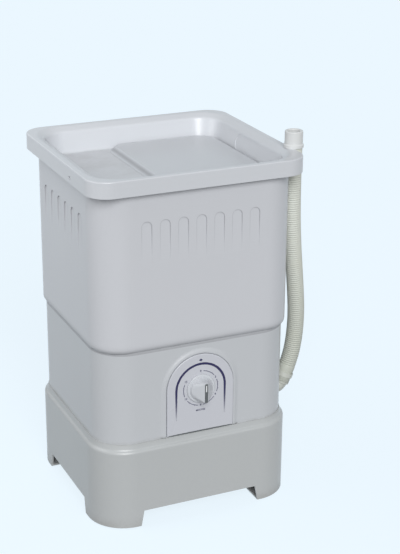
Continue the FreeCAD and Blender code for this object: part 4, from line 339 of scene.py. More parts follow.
@dataclass(frozen=True)
class MouldedPlastic(Finish):
    """Injection-moulded plastic with flow marks, fine grain, scuffs, a little dirt, and painted shade where a
    finish asks for it.

    Attributes:
        roughness: Mean roughness.
        grain: Depth of the moulded grain in metres.
        mottle: Strength of the slow change of colour.
        scuff: Strength of the fine scuffs.
        dirt_and_shade_bands: Bands of dirt, and of painted shade.
        shine: Weight of the smooth skin on top.
        dirt_and_shade: Colour of the dirt, and of painted shade where a finish gives a shade colour.
        patchy: How far noise breaks the dirt and the painted shade up.
    """

    roughness: float = 0.34
    grain: float = 0.00003
    mottle: float = 0.5
    scuff: float = 0.5
    dirt_and_shade_bands: tuple[DirtAndShadeBand, ...] = ()
    shine: float = 0.25
    dirt_and_shade: Colour = (0.235, 0.225, 0.20)
    patchy: float = 0.75

    def inputs(self, g: Graph) -> Inputs:
        """Noise shifts the colour and makes flow marks, scuffs and grain; dirt and painted shade lie in
        bands.

        The flow marks are noise stretched upwards, and the scuffs thin pale lines.

        Args:
            g: Graph of the material.

        Returns:
            Values or links by socket name.
        """
        slow = g.noise(4.5, 2.0)
        flow = g.noise(9.0, 4.0, 0.6, g.stretched((1.0, 1.0, 0.22)))
        speck = g.noise(900.0, 1.0)
        tone = (slow.swing(0.10) + flow.swing(0.08) + speck.swing(0.05)) * self.mottle
        light = tinted(self.colour, 1.18)
        colour = g.mix((tone + 0.5).clamped(), tinted(self.colour, 0.82), light)
        aged = g.noise(2.2, 2.0).step(0.52, 0.78) * (0.14 * self.mottle)
        colour = g.mix(aged, colour, tinted(self.colour, 0.99, 0.97, 0.91))
        worn = self._scuffs(g)
        colour = g.mix(worn, colour, light)
        rough = slow.swing(0.10) + flow.swing(0.07) + worn * 0.5 + self.roughness
        # Bands of dirt, and of painted shade where the finish asks for it, darken the colour.
        if self.dirt_and_shade_bands:
            dirt_and_shade = self._dirt_and_shade(g)
            colour = g.mix(dirt_and_shade, colour, self.dirt_and_shade)
            rough = rough + dirt_and_shade * 0.4
        peel = g.bump(g.noise(230.0, 2.0), 0.00006, 0.35)
        grain = g.bump(g.noise(1500.0, 2.0, 0.6), self.grain, 0.5, peel)
        return {"Base Color": colour, "Roughness": rough.clamped(), "Normal": grain,
                "Coat Weight": self.shine, "Coat Roughness": 0.16, "IOR": 1.49}

    def _scuffs(self, g: Graph) -> Shade:
        """Share of thin upright and level scuffs, in patches.

        Args:
            g: Graph of the material.

        Returns:
            The share.
        """
        upright = g.noise(55.0, 2.0, 0.5, g.stretched((6.0, 6.0, 0.5), (0.31, 0.17, 0.05)))
        level = g.noise(40.0, 2.0, 0.5, g.stretched((0.6, 0.6, 7.0), (0.11, 0.23, 0.4)))
        patch = g.noise(6.0, 1.0).step(0.5, 0.62)
        lines = upright.step(0.70, 0.78) + level.step(0.71, 0.79)
        return (lines * patch * (0.30 * self.scuff)).clamped()

    def _dirt_and_shade(self, g: Graph) -> Shade:
        """Share of dirt and painted shade from all bands, broken up by noise.

        Args:
            g: Graph of the material.

        Returns:
            The share.
        """
        height = g.axis("Z")
        uneven = g.noise(26.0, 4.0, 0.65).step(0.30, 0.72) * self.patchy + (1.0 - self.patchy)
        bands = [(height - band.height).size().step(band.reach, 0.0) * band.depth for band in self.dirt_and_shade_bands]
        total = bands[0]
        for share in bands[1:]:
            total = total.larger(share)
        return (total * uneven).clamped()


@dataclass(frozen=True)
class FluteRow:
    """Row of flutes with round tops on two opposite walls of the tub, whose outlines get painted shade, in
    metres.

    Attributes:
        along: Axis along the row.
        out: Axis that points out of the walls.
        wall: Middle of the tub to the outside of each wall.
        pitch: Flute to flute.
        count: Flutes on one wall.
        top: Height of the flutes' tops.
        length: Their length down to where they run out.
        half: Half their width.
        line: Half the width of the painted shade on their outline.
        depth: Depth of wall that the painted shade is on.
    """

    along: str
    out: str
    wall: float
    pitch: float
    count: int
    top: float = 0.661
    length: float = 0.088
    half: float = 0.0105
    line: float = 0.0014
    depth: float = 0.003

    def shade(self, g: Graph) -> Shade:
        """Share of painted shade on the flutes' outlines: full at the round tops and gone at the feet.

        Args:
            g: Graph of the material.

        Returns:
            The share.
        """
        spot, height = g.axis(self.along), g.axis("Z")
        first = 0.0 if self.count % 2 else self.pitch / 2
        aside = (spot + first).folded(self.pitch / 2)
        rise = (height - (self.top - self.half)).larger(0.0)
        edge = ((aside * aside + rise * rise).root() - self.half).size().step(self.line, 0.0)
        end = self.count * self.pitch / 2
        row = spot.size().step(end, end - self.line)
        skin = g.axis(self.out).size().step(self.wall - self.depth, self.wall - self.depth / 2)
        return edge * row * skin * height.step(self.top - self.length, self.top)


@dataclass(frozen=True)
class FlutedPlastic(MouldedPlastic):
    """Moulded plastic with soft painted shade on the outlines of its flutes.

    Attributes:
        rows: Rows of flutes.
        outline: Share of the painted shade's colour on their outlines.
    """

    rows: tuple[FluteRow, ...] = ()
    outline: float = 0.38

    def _dirt_and_shade(self, g: Graph) -> Shade:
        """Share of dirt and painted shade from all bands, and of painted shade on the flutes' outlines.

        Args:
            g: Graph of the material.

        Returns:
            The share.
        """
        total = super()._dirt_and_shade(g)
        for row in self.rows:
            total = total.larger(row.shade(g) * self.outline)
        return total


@dataclass(frozen=True)
class HosePlastic(Finish):
    """Soft blown plastic of the hose, with painted shade between its ribs, and darker towards the bottom.

    Attributes:
        valley: Colour between the ribs, darker as painted shade.
        low_colour: Colour that the hose darkens to towards its low bend.
        dust: Share of that colour at the bottom.
        low_span: Heights in metres where that darkening starts and is full.
    """

    valley: Colour
    low_colour: Colour = srgb(150, 154, 142)
    dust: float = 0.42
    low_span: tuple[float, float] = (0.64, 0.27)

    def inputs(self, g: Graph) -> Inputs:
        """The rib attribute, 0 in a valley and 1 on a crest, sets the colour, with painted shade in the
        valleys; it darkens towards the bottom.

        Args:
            g: Graph of the material.

        Returns:
            Values or links by socket name.
        """
        crest = g.attribute("rib").step(0.05, 0.75)
        blotch = g.noise(30.0, 3.0, 0.6)
        aged = g.mix(blotch.step(0.45, 0.8) * 0.30, self.colour, tinted(self.colour, 0.98, 0.95, 0.86))
        colour = g.mix(crest, self.valley, aged)
        # The hose darkens towards the bottom.
        colour = g.mix(g.axis("Z").step(*self.low_span) * self.dust, colour, self.low_colour)
        colour = g.mix(g.noise(700.0, 1.0).step(0.62, 0.75) * 0.12, colour, tinted(self.colour, 0.75))
        rough = blotch * 0.14 + 0.52
        fine = g.bump(g.noise(1200.0, 2.0), 0.00005, 0.4)
        return {"Base Color": colour, "Roughness": rough, "Normal": fine, "IOR": 1.47}


@dataclass(frozen=True)
class PrintInk(Finish):
    """Screen-printed ink that can fade out into the panel.

    Attributes:
        ground: Colour of the panel that it fades to.
    """

    ground: Colour

    def inputs(self, g: Graph) -> Inputs:
        """The fade attribute mixes ink and panel: 0 is full ink, 1 is bare panel.

        Args:
            g: Graph of the material.

        Returns:
            Values or links by socket name.
        """
        uneven = g.noise(420.0, 3.0, 0.6)
        ink = g.mix(uneven.step(0.35, 0.8) * 0.25, self.colour, tinted(self.colour, 1.7))
        pinhole = g.cells(900.0).step(0.16, 0.06) * 0.15
        colour = g.mix((g.attribute("fade") + pinhole).clamped(), ink, self.ground)
        skin = g.bump(g.noise(900.0, 2.0), 0.00002, 0.4)
        return {"Base Color": colour, "Roughness": uneven * 0.12 + 0.30, "Normal": skin, "Coat Weight": 0.1}


@dataclass(frozen=True)
class Metal(Finish):
    """Bare or plated metal.

    Attributes:
        roughness: Mean roughness.
        lay: How its tool marks run.
        centre: X and Y of the axis that turned marks go round.
        tarnish: Colour of oxide or oil.
        tarnish_share: How much of it there is.
        winding: Heights below and above which copper windings show, or none.
    """

    roughness: float = 0.3
    lay: Lay = Lay.PLAIN
    centre: tuple[float, float] = (0.0, 0.0)
    tarnish: Colour = (0.16, 0.13, 0.10)
    tarnish_share: float = 0.25
    winding: tuple[float, float] | None = None

    def inputs(self, g: Graph) -> Inputs:
        """Tool marks go by height or radius, tarnish by noise.

        Args:
            g: Graph of the material.

        Returns:
            Values or links by socket name.
        """
        patch = g.noise(38.0, 4.0, 0.62)
        speck = g.noise(620.0, 2.0)
        oxide = ((patch.step(0.48, 0.75) + speck.step(0.6, 0.8) * 0.3) * self.tarnish_share).clamped()
        colour = g.mix(speck * 0.5 + patch * 0.5, tinted(self.colour, 0.86), tinted(self.colour, 1.12))
        colour = g.mix(oxide, colour, self.tarnish)
        marks = self._marks(g)
        if self.winding is not None:
            copper, strand = self._copper(g, *self.winding)
            # Between the strands the copper is darker, as painted shade.
            colour = g.mix(copper, colour, g.mix(strand, COPPER_SHADE, COPPER))
            marks = marks * (1.0 - copper) + strand * copper
        rough = patch.swing(0.16) + marks * 0.10 + oxide * 0.3 + (self.roughness - 0.05)
        depth = 0.00022 if self.lay is Lay.CAST else 0.00006
        return {"Base Color": colour, "Metallic": 1.0 - oxide * 0.7, "Roughness": rough.clamped(),
                "Normal": g.bump(marks, depth)}

    @staticmethod
    def _copper(g: Graph, low: float, high: float, edge: float = 0.0004) -> tuple[Shade, Shade]:
        """Copper windings at both ends of a stack of sheets.

        Args:
            g: Graph of the material.
            low: Height below which copper shows, in metres.
            high: Height above which it shows.
            edge: Width of the change.

        Returns:
            Share of copper, and the height of its strands from 0 to 1.
        """
        z = g.axis("Z")
        strand = (z + g.noise(60.0, 2.0) * 0.0035).wave(0.0024)
        return z.step(low + edge, low).larger(z.step(high, high + edge)), strand

    def _marks(self, g: Graph) -> Shade:
        """Height of the tool marks, from 0 to 1.

        Args:
            g: Graph of the material.

        Returns:
            The height.
        """
        if self.lay is Lay.CAST:
            return g.noise(480.0, 4.0, 0.65)
        if self.lay is Lay.STACKED:
            return g.axis("Z").wave(0.0011)
        if self.lay is Lay.TURNED:
            x, y = g.axis("X") - self.centre[0], g.axis("Y") - self.centre[1]
            radius = (x * x + y * y).root()
            return (radius + g.axis("Z")).wave(0.0007) * 0.7 + g.noise(900.0, 2.0) * 0.3
        return g.noise(1300.0, 2.0, 0.6, g.stretched((1.0, 1.0, 0.12)))


@dataclass(frozen=True)
class Enamel(Finish):
    """Baked enamel on sheet steel, with orange peel, dust and small chips.

    Attributes:
        roughness: Mean roughness.
    """

    roughness: float = 0.34

    def inputs(self, g: Graph) -> Inputs:
        """Noise makes the peel and the dust, sparse cells the chips.

        Args:
            g: Graph of the material.

        Returns:
            Values or links by socket name.
        """
        chip = g.cells(85.0).step(0.10, 0.05) * g.noise(14.0, 2.0).step(0.58, 0.66)
        dust = g.noise(24.0, 3.0, 0.6).step(0.46, 0.80) * 0.34
        colour = g.mix(chip, g.mix(dust, self.colour, DUST), BARE_STEEL)
        rough = dust * 0.7 + chip * 0.2 + self.roughness
        peel = g.bump(g.noise(330.0, 2.0), 0.00008, 0.4)
        return {"Base Color": colour, "Roughness": rough.clamped(), "Metallic": chip * 0.9,
                "Normal": g.bump(1.0 - chip, 0.0002, 0.6, peel)}


@dataclass(frozen=True)
class Rubber(Finish):
    """Moulded rubber with a dusty bloom.

    Attributes:
        bloom: Share of dust.
        ribbed: Spacing of moulded ribs up the piece in metres, or 0.
    """

    bloom: float = 0.3
    ribbed: float = 0.0

    def inputs(self, g: Graph) -> Inputs:
        """Noise makes blotches of bloom, cells make pores, and ribs, where asked, go by height.

        Args:
            g: Graph of the material.

        Returns:
            Values or links by socket name.
        """
        bloom = (g.noise(45.0, 4.0, 0.65).step(0.40, 0.78) * self.bloom).clamped()
        colour = g.mix(bloom, self.colour, RUBBER_DUST)
        colour = g.mix(g.cells(1300.0).step(0.22, 0.08) * 0.5, colour, tinted(self.colour, 0.4))
        rough = bloom * 0.25 + g.noise(300.0, 2.0) * 0.12 + 0.58
        normal = g.bump(g.noise(900.0, 3.0, 0.6), 0.0001)
        if self.ribbed:
            normal = g.bump(g.axis("Z").wave(self.ribbed), 0.0003, 0.6, normal)
        return {"Base Color": colour, "Roughness": rough.clamped(), "Normal": normal, "IOR": 1.52}


# Meshes


def add_piece(name: str, data: bpy.types.ID) -> bpy.types.Object:
    """Links a mesh, curve, lamp or camera to the scene as an object at the origin.

    Args:
        name: Name of the object.
        data: What it holds.

    Returns:
        The object.
    """
    item = bpy.data.objects.new(name, data)
    bpy.context.scene.collection.objects.link(item)
    return item


def mesh_of(name: str, data: bpy.types.Curve) -> bpy.types.Mesh:
    """Mesh that a curve or a text gives; the curve itself is removed.

    Args:
        name: Name of the mesh.
        data: The curve or text.

    Returns:
        The mesh.
    """
    drawn = add_piece(name, data)
    bpy.context.view_layer.update()
    mesh = bpy.data.meshes.new_from_object(drawn)
    bpy.data.objects.remove(drawn)
    bpy.data.curves.remove(data)
    mesh.name = name
    return mesh


def keep_values(mesh: bpy.types.Mesh, name: str, values: np.ndarray) -> None:
    """Keeps a number for each point of a mesh as an attribute."""
    store = mesh.attributes.new(name, "FLOAT", "POINT")
    store.data.foreach_set("value", np.ascontiguousarray(values, np.float32).ravel())


def grid_piece(name: str, points: np.ndarray, around: bool, capped: bool = False,
               values: dict[str, np.ndarray] | None = None) -> bpy.types.Object:
    """Mesh object of a grid of points.

    Args:
        name: Piece name.
        points: Array of rows, columns and three coordinates; rows run along, columns across.
        around: Whether the last column joins the first.
        capped: Whether the first and last rows are closed with a face.
        values: Numbers for each row, kept as attributes of its points.

    Returns:
        The object, linked to the scene.
    """
    rows, columns = points.shape[:2]
    index = np.arange(rows * columns).reshape(rows, columns)
    right = np.roll(index, -1, axis=1) if around else index[:, 1:]
    left = index if around else index[:, :-1]
    faces = np.stack([left[:-1], right[:-1], right[1:], left[1:]], axis=-1).reshape(-1, 4).tolist()
    if capped:
        faces += [index[0, ::-1].tolist(), index[-1].tolist()]
    mesh = bpy.data.meshes.new(name)
    mesh.from_pydata(points.reshape(-1, 3).tolist(), [], faces)
    for key, given in (values or {}).items():
        keep_values(mesh, key, np.repeat(given, columns))
    mesh.polygons.foreach_set("use_smooth", np.ones(len(mesh.polygons), bool))
    mesh.update()
    return add_piece(name, mesh)


def dress(item: bpy.types.Object, finish: Finish) -> None:
    """Puts a finish on an object in place of what it has."""
    item.data.materials.clear()
    item.data.materials.append(finish.material())


def box_mm(node: str) -> tuple[np.ndarray, np.ndarray]:
    """Lowest and highest corner of a node in millimetres."""
    low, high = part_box(node)
    return np.array(low) / MM, np.array(high) / MM


def clockwise(angle: float | np.ndarray) -> np.ndarray:
    """X and Z of the unit vector at an angle clockwise from the top, in degrees."""
    turn = np.radians(angle)
    return np.stack([np.sin(turn), np.cos(turn)], axis=-1)


# The machine's palette, heights in metres of bands of dust and of painted shade, and plastics of several
# pieces

TUB = srgb(198, 200, 205)
CABINET = srgb(189, 192, 196)
RIM = srgb(202, 205, 210)
# SHADED_LID is the rim's plastic made a little darker: painted shade on the lid, which lies low in the tray.
SHADED_LID = srgb(195, 198, 203)
BASE = srgb(178, 181, 182)
PANEL = srgb(195, 197, 204)
KNOB = srgb(198, 201, 206)
NOZZLE = srgb(213, 215, 215)
PULSATOR = srgb(150, 176, 198)
CAPACITOR = srgb(198, 198, 192)
NAVY = srgb(22, 14, 68)
GREY_INK = srgb(92, 92, 112)
WHITE_INK = srgb(226, 228, 230)
# INSERT_AND_SHADOW is the dark plastic of the knob's insert, and the colour of the painted shadow strip at
# the panel's foot.
INSERT_AND_SHADOW = srgb(84, 88, 90)
HOSE = srgb(208, 211, 203)
# PAINTED_SHADE is the colour of the painted shade on the tub and on the lid.
PAINTED_SHADE = srgb(124, 125, 128)
BASE_TOP, TUB_EDGE = (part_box(node)[0][2] for node in ("lower_cabinet", "wash_tub"))
LID_SLOPE = sum(corner[2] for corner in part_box("lid_panel")) / 2
TUB_FLOOR, TRAY_FLOOR = 0.398, 0.700
CABINET_PLASTIC = MouldedPlastic("cabinet_plastic", CABINET, 0.35, dirt_and_shade_bands=(DirtAndShadeBand(BASE_TOP, 0.008, 0.25),))
# This finish serves the knob's insert and the painted shadow strip at the panel's foot.
INSERT_AND_SHADOW_PLASTIC = MouldedPlastic("insert_and_shadow_plastic", INSERT_AND_SHADOW, 0.38)


@dataclass
class Hose:
    """Ribbed drain hose from the outlet elbow to the fitting on the rim.

    Attributes:
        route: Points of its line, from the outlet up.
        crest: Radius over the ribs.
        valley: Radius between the ribs.
        bore: Inner radius.
        cuff: Plain length at each end.
        lip: Width and depth of the chamfer at each end.
        ribs: Number of ribs.
        rib_steps: Rings for each rib.
        sides: Points round the hose.
        order: Order of the spline that smooths the route.
        fineness: Points on the spline for each of its pieces.
        weld: Distance within which the ends of the skin are joined.
        finish: Its plastic.
    """

    route: tuple[Point, ...] = ((231.1, -115.0, 228.7), (249.4, -115.0, 269.8), (259.0, -116.5, 321.0),
                                (260.8, -119.0, 380.7), (254.2, -122.5, 447.8), (241.0, -128.0, 552.2),
                                (235.5, -130.0, 653.0), (235.5, -130.0, 753.0))
    crest: float = 18.0
    valley: float = 16.6
    bore: float = 13.5
    cuff: float = 36.0
    lip: float = 0.8
    ribs: int = 96
    rib_steps: int = 8
    sides: int = 40
    order: int = 3
    fineness: int = 48
    weld: float = 0.001
    # The valley colour is a little darker: painted shade between the ribs.
    finish: HosePlastic = HosePlastic("hose_plastic", HOSE, tinted(HOSE, 0.97))

    def line(self) -> np.ndarray:
        """Points along the hose's smooth line.

        The route's points control a NURBS spline that starts and ends on them; the points are read from
        that spline.

        Returns:
            Rows of three coordinates in metres.
        """
        data = bpy.data.curves.new("hose_line", "CURVE")
        data.dimensions = "3D"
        spline = data.splines.new("NURBS")
        spline.points.add(len(self.route) - 1)
        control = np.column_stack([np.array(self.route) * MM, np.ones(len(self.route))])
        spline.points.foreach_set("co", control.ravel())
        spline.order_u = self.order
        spline.use_endpoint_u = True
        spline.resolution_u = self.fineness
        mesh = mesh_of("hose_line", data)
        points = np.empty(len(mesh.vertices) * 3)
        mesh.vertices.foreach_get("co", points)
        bpy.data.meshes.remove(mesh)
        return points.reshape(-1, 3)

    def rib_height(self, along: np.ndarray, length: float) -> np.ndarray:
        """Height of the skin from 0 in a valley to 1 on a crest.

        A raised cosine, flattened on the crests by its square root, between the two plain cuffs.

        Args:
            along: Distances from the start.
            length: Whole length.

        Returns:
            Height at each distance.
        """
        cuff = self.cuff * MM
        pitch = (length - 2 * cuff) / self.ribs
        wave = 0.5 + 0.5 * np.cos(2 * np.pi * (along - cuff) / pitch)
        return np.where((along > cuff) & (along < length - cuff), np.sqrt(wave), 1.0)

    def skin(self, line: np.ndarray, steps: np.ndarray) -> tuple[np.ndarray, np.ndarray]:
        """Rings of the ribbed outside and, back down, of the plain bore.

        A ring's point = line + radius x (side x cosine + other x sine of its turn), where side lies near Y
        and other stands square to it and to the line.

        Args:
            line: Points of the hose's line.
            steps: Their distances from the start.

        Returns:
            Array of rings, points round them and three coordinates, and the rib height of each ring.
        """
        length, cuff, lip = steps[-1], self.cuff * MM, self.lip * MM
        ribbed = np.linspace(cuff, length - cuff, self.ribs * self.rib_steps + 1)
        along = np.concatenate([[0.0, lip], ribbed, [length - lip, length]])
        path = np.column_stack([np.interp(along, steps, line[:, i]) for i in range(3)])
        ahead = np.gradient(path, along, axis=0)
        ahead /= np.linalg.norm(ahead, axis=1, keepdims=True)
        side = np.array([0.0, 1.0, 0.0]) - ahead * ahead[:, 1:2]
        side /= np.linalg.norm(side, axis=1, keepdims=True)
        height = self.rib_height(along, length)
        outer = (self.valley + (self.crest - self.valley) * height) * MM
        outer[[0, -1]] -= lip
        turn = np.linspace(0, 2 * np.pi, self.sides, endpoint=False)[None, :, None]
        ring = side[:, None, :] * np.cos(turn) + np.cross(ahead, side)[:, None, :] * np.sin(turn)
        outside = path[:, None, :] + ring * outer[:, None, None]
        inside = path[::-1, None, :] + ring[::-1] * (self.bore * MM)
        ribs = np.concatenate([height, np.zeros_like(height), height[:1]])
        return np.concatenate([outside, inside, outside[:1]]), ribs

    def build(self) -> None:
        line = self.line()
        steps = np.concatenate([[0.0], np.cumsum(np.linalg.norm(np.diff(line, axis=0), axis=1))])
        points, ribs = self.skin(line, steps)
        hose = grid_piece("ribbed_hose", points, around=True, values={"rib": ribs})
        dress(hose, self.finish)
        hose.modifiers.new("seam", "WELD").merge_threshold = self.weld * MM
        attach(hose, Body.MACHINE.value)
        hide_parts("drain_hose")
        LOG.info("ribbed_hose: %.0f mm long, %d ribs", steps[-1] / MM, self.ribs)


Group = tuple[list[bpy.types.Object], Finish, str, Body]


@dataclass
class FrontTrim:
    """Thin pieces on the machine's front, whose places come from the frame.

    Attributes:
        ink: Thickness of an ink.
        sink: How far an ink reaches into its face.
        bevel: Share of a strip's width and thickness where its bevelled edge starts.
        face: Y of the panel's face.
        half: Half the panel's width.
        springing: Height of the middle of the panel's half circle.
        panel_foot: Height of the panel's foot.
        axis: X and Z of the knob's axis.
        blade: Y of the front of the knob's blade.
        wall: Y of the cabinet's front.
        base_top: Height of the base's top.
    """

    ink: float = 0.14
    sink: float = 0.05
    bevel: float = 0.8

    def __post_init__(self) -> None:
        """Reads the places of the panel, the knob and the casings from their boxes."""
        low, high = box_mm("control_panel")
        self.face, self.half, self.springing = low[1], high[0], high[2] - high[0]
        self.panel_foot = low[2]
        low, high = box_mm("timer_knob")
        self.axis, self.blade = np.array([0.0, (low[2] + high[2]) / 2]), low[1]
        self.wall, self.base_top = box_mm("lower_cabinet")[0][1], box_mm("base_stand")[1][2]

    @staticmethod
    def arch(half: float, middle: float, foot: float, legs: int = 32,
             over: int = 96) -> tuple[np.ndarray, np.ndarray]:
        """Path up one leg, over a half circle and down the other leg, with its outward direction.

        On the half circle, X = half x cosine and Z = middle + half x sine of the turn.

        Args:
            half: Half the width.
            middle: Height of the half circle's middle.
            foot: Height of the legs' ends.
            legs: Points on each leg.
            over: Points on the half circle.

        Returns:
            X and Z of each point, and the unit vector that points out of the arch.
        """
        turn = np.linspace(np.pi, 0.0, over)
        rise = np.linspace(foot, middle, legs, endpoint=False)
        x = np.concatenate([np.full(legs, -half), half * np.cos(turn), np.full(legs, half)])
        z = np.concatenate([rise, middle + half * np.sin(turn), rise[::-1]])
        angle = np.concatenate([np.full(legs, np.pi), turn, np.zeros(legs)])
        return np.column_stack([x, z]), np.column_stack([np.cos(angle), np.sin(angle)])

    @staticmethod
    def on_front(flat: np.ndarray, out: np.ndarray, y: float, profile: np.ndarray,
                 scale: np.ndarray | float = 1.0) -> np.ndarray:
        """Carries a profile along a flat path on an upright face.

        A point = path + out x scale x the profile's first coordinate, and its second in front of the face.

        Args:
            flat: X and Z of the path.
            out: Unit vector across it in X and Z, for each point or for all.
            y: Face that it lies on.
            profile: Columns of two coordinates: across the path, and out of the face.
            scale: Factor on the profile's width, for each point or for all.

        Returns:
            Array of rows, columns and three coordinates, in metres.
        """
        wide = np.outer(np.broadcast_to(scale, len(flat)), profile[:, 0])
        out = np.broadcast_to(out, flat.shape)
        x, z = (flat[:, i, None] + out[:, i, None] * wide for i in range(2))
        return np.stack([x, np.broadcast_to(y - profile[:, 1], wide.shape), z], axis=-1) * MM

    def strip(self, name: str, flat: np.ndarray, out: np.ndarray, width: float,
              taper: np.ndarray | float = 1.0, fade: np.ndarray | float = 0.0,
              face: float | None = None, sink: float | None = None) -> bpy.types.Object:
        """Thin raised line along a flat path on the panel or the knob.

        Args:
            name: Piece name.
            flat: X and Z of its middle.
            out: Unit vector across it, for each point or for all.
            width: Width where the taper is 1.
            taper: Share of the width, for each point or for all.
            fade: Fade of an ink, for each point or for all.
            face: Y of the face that it lies on, or none for the panel.
            sink: How far it reaches into that face, or none for an ink.

        Returns:
            The strip.
        """
        half, edge = width / 2, self.bevel
        sink = self.sink if sink is None else sink
        profile = np.array([[-half, -sink], [half, -sink], [half, self.ink * edge],
                            [half * edge, self.ink], [-half * edge, self.ink], [-half, self.ink * edge]])
        points = self.on_front(flat, out, self.face if face is None else face, profile, taper)
        return grid_piece(name, points, around=True, capped=True,
                          values={"fade": np.broadcast_to(fade, len(flat))})

    def straight(self, name: str, start: np.ndarray, stop: np.ndarray, width: float, taper: np.ndarray,
                 **seat: float) -> bpy.types.Object:
        """Straight strip.

        Args:
            name: Piece name.
            start: X and Z of its start.
            stop: X and Z of its end.
            width: Width where the taper is 1.
            taper: Share of the width at even steps.
            seat: Face and sink, where they aren't those of an ink on the panel.

        Returns:
            The strip.
        """
        ahead = (stop - start) / np.linalg.norm(stop - start)
        across = np.array([-ahead[1], ahead[0]])
        return self.strip(name, np.linspace(start, stop, len(taper)), across, width, taper, **seat)

    def groups(self) -> list[Group]:
        """Pieces with the finish, slot and body that they share."""
        raise NotImplementedError

    def build(self) -> None:
        """Builds and dresses the pieces, and says what they ride on."""
        for pieces, finish, slot, body in self.groups():
            for item in pieces:
                dress(item, finish)
                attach(item, body.value)
                LOG.info("%s: %s", item.name, finish.name)


@dataclass
class PanelEdge(FrontTrim):
    """Moulded surround of the control panel, and a dark strip of painted shadow at the panel's foot.

    Attributes:
        gap: Gap between the panel's edge and the surround.
        lip: Width of the surround.
        lip_height: Its height next to the panel.
        lip_round: Rounding of its inner edge.
        lip_sink: How far it reaches into the cabinet's wall.
        foot_gap: Gap between the surround's feet and the base.
        round_steps: Points on the rounding.
        slope_steps: Points on the slope from there to the cabinet.
        seam: Height of the dark strip of painted shadow.
        shadow_end: Share of that height at its ends.
        shadow_rise: Panel's foot up to the strip's middle, as a share of its height.
        shadow_steps: Points along the strip.
    """

    gap: float = 0.8
    lip: float = 12.0
    lip_height: float = 2.8
    lip_round: float = 1.0
    lip_sink: float = 0.4
    foot_gap: float = 0.4
    round_steps: int = 5
    slope_steps: int = 25
    seam: float = 2.6
    shadow_end: float = 0.35
    shadow_rise: float = 1 / 3
    shadow_steps: int = 40

    def groups(self) -> list[Group]:
        """The surround in the cabinet's plastic, and the dark strip of painted shadow."""
        return [([self.surround()], CABINET_PLASTIC, "tub_plastic", Body.MACHINE),
                ([self.painted_foot_shadow()], INSERT_AND_SHADOW_PLASTIC, "panel_plastic", Body.MACHINE)]

    def surround(self) -> bpy.types.Object:
        """Moulded lip on the cabinet round the panel.

        Its section stands upright next to the panel, has a rounded edge, and runs out to the cabinet's
        front as half a cosine wave.

        Returns:
            The surround.
        """
        flat, out = self.arch(self.half + self.gap, self.springing, self.base_top + self.foot_gap)
        turn = np.linspace(np.pi, np.pi / 2, self.round_steps)
        edge = self.lip_round * np.column_stack([1 + np.cos(turn), np.sin(turn) - 1])
        fall = np.linspace(0.0, 1.0, self.slope_steps)
        slope = np.column_stack([2 * self.lip_round + (self.lip - 2 * self.lip_round) * fall,
                                 self.lip_height * (0.5 + 0.5 * np.cos(np.pi * fall))])
        top = np.concatenate([edge + np.array([0.0, self.lip_height]), slope])
        feet = np.array([[0.0, -self.lip_sink], [self.lip, -self.lip_sink]])
        points = self.on_front(flat, out, self.wall, np.concatenate([feet, top[::-1]]))
        return grid_piece("panel_surround", points, around=True, capped=True)

    def painted_foot_shadow(self) -> bpy.types.Object:
        """Dark strip of painted shadow along the rounded lower edge of the panel.

        Its height falls towards its ends as half an ellipse.

        Returns:
            The seam.
        """
        across = np.linspace(-1.0, 1.0, self.shadow_steps)
        taper = self.shadow_end + (1.0 - self.shadow_end) * np.sqrt(1.0 - across ** 2)
        rise = self.panel_foot + self.seam * self.shadow_rise
        start, stop = (np.array([sign * (self.half - self.seam), rise]) for sign in (-1, 1))
        return self.straight("panel_painted_shadow", start, stop, self.seam, taper, sink=self.seam)


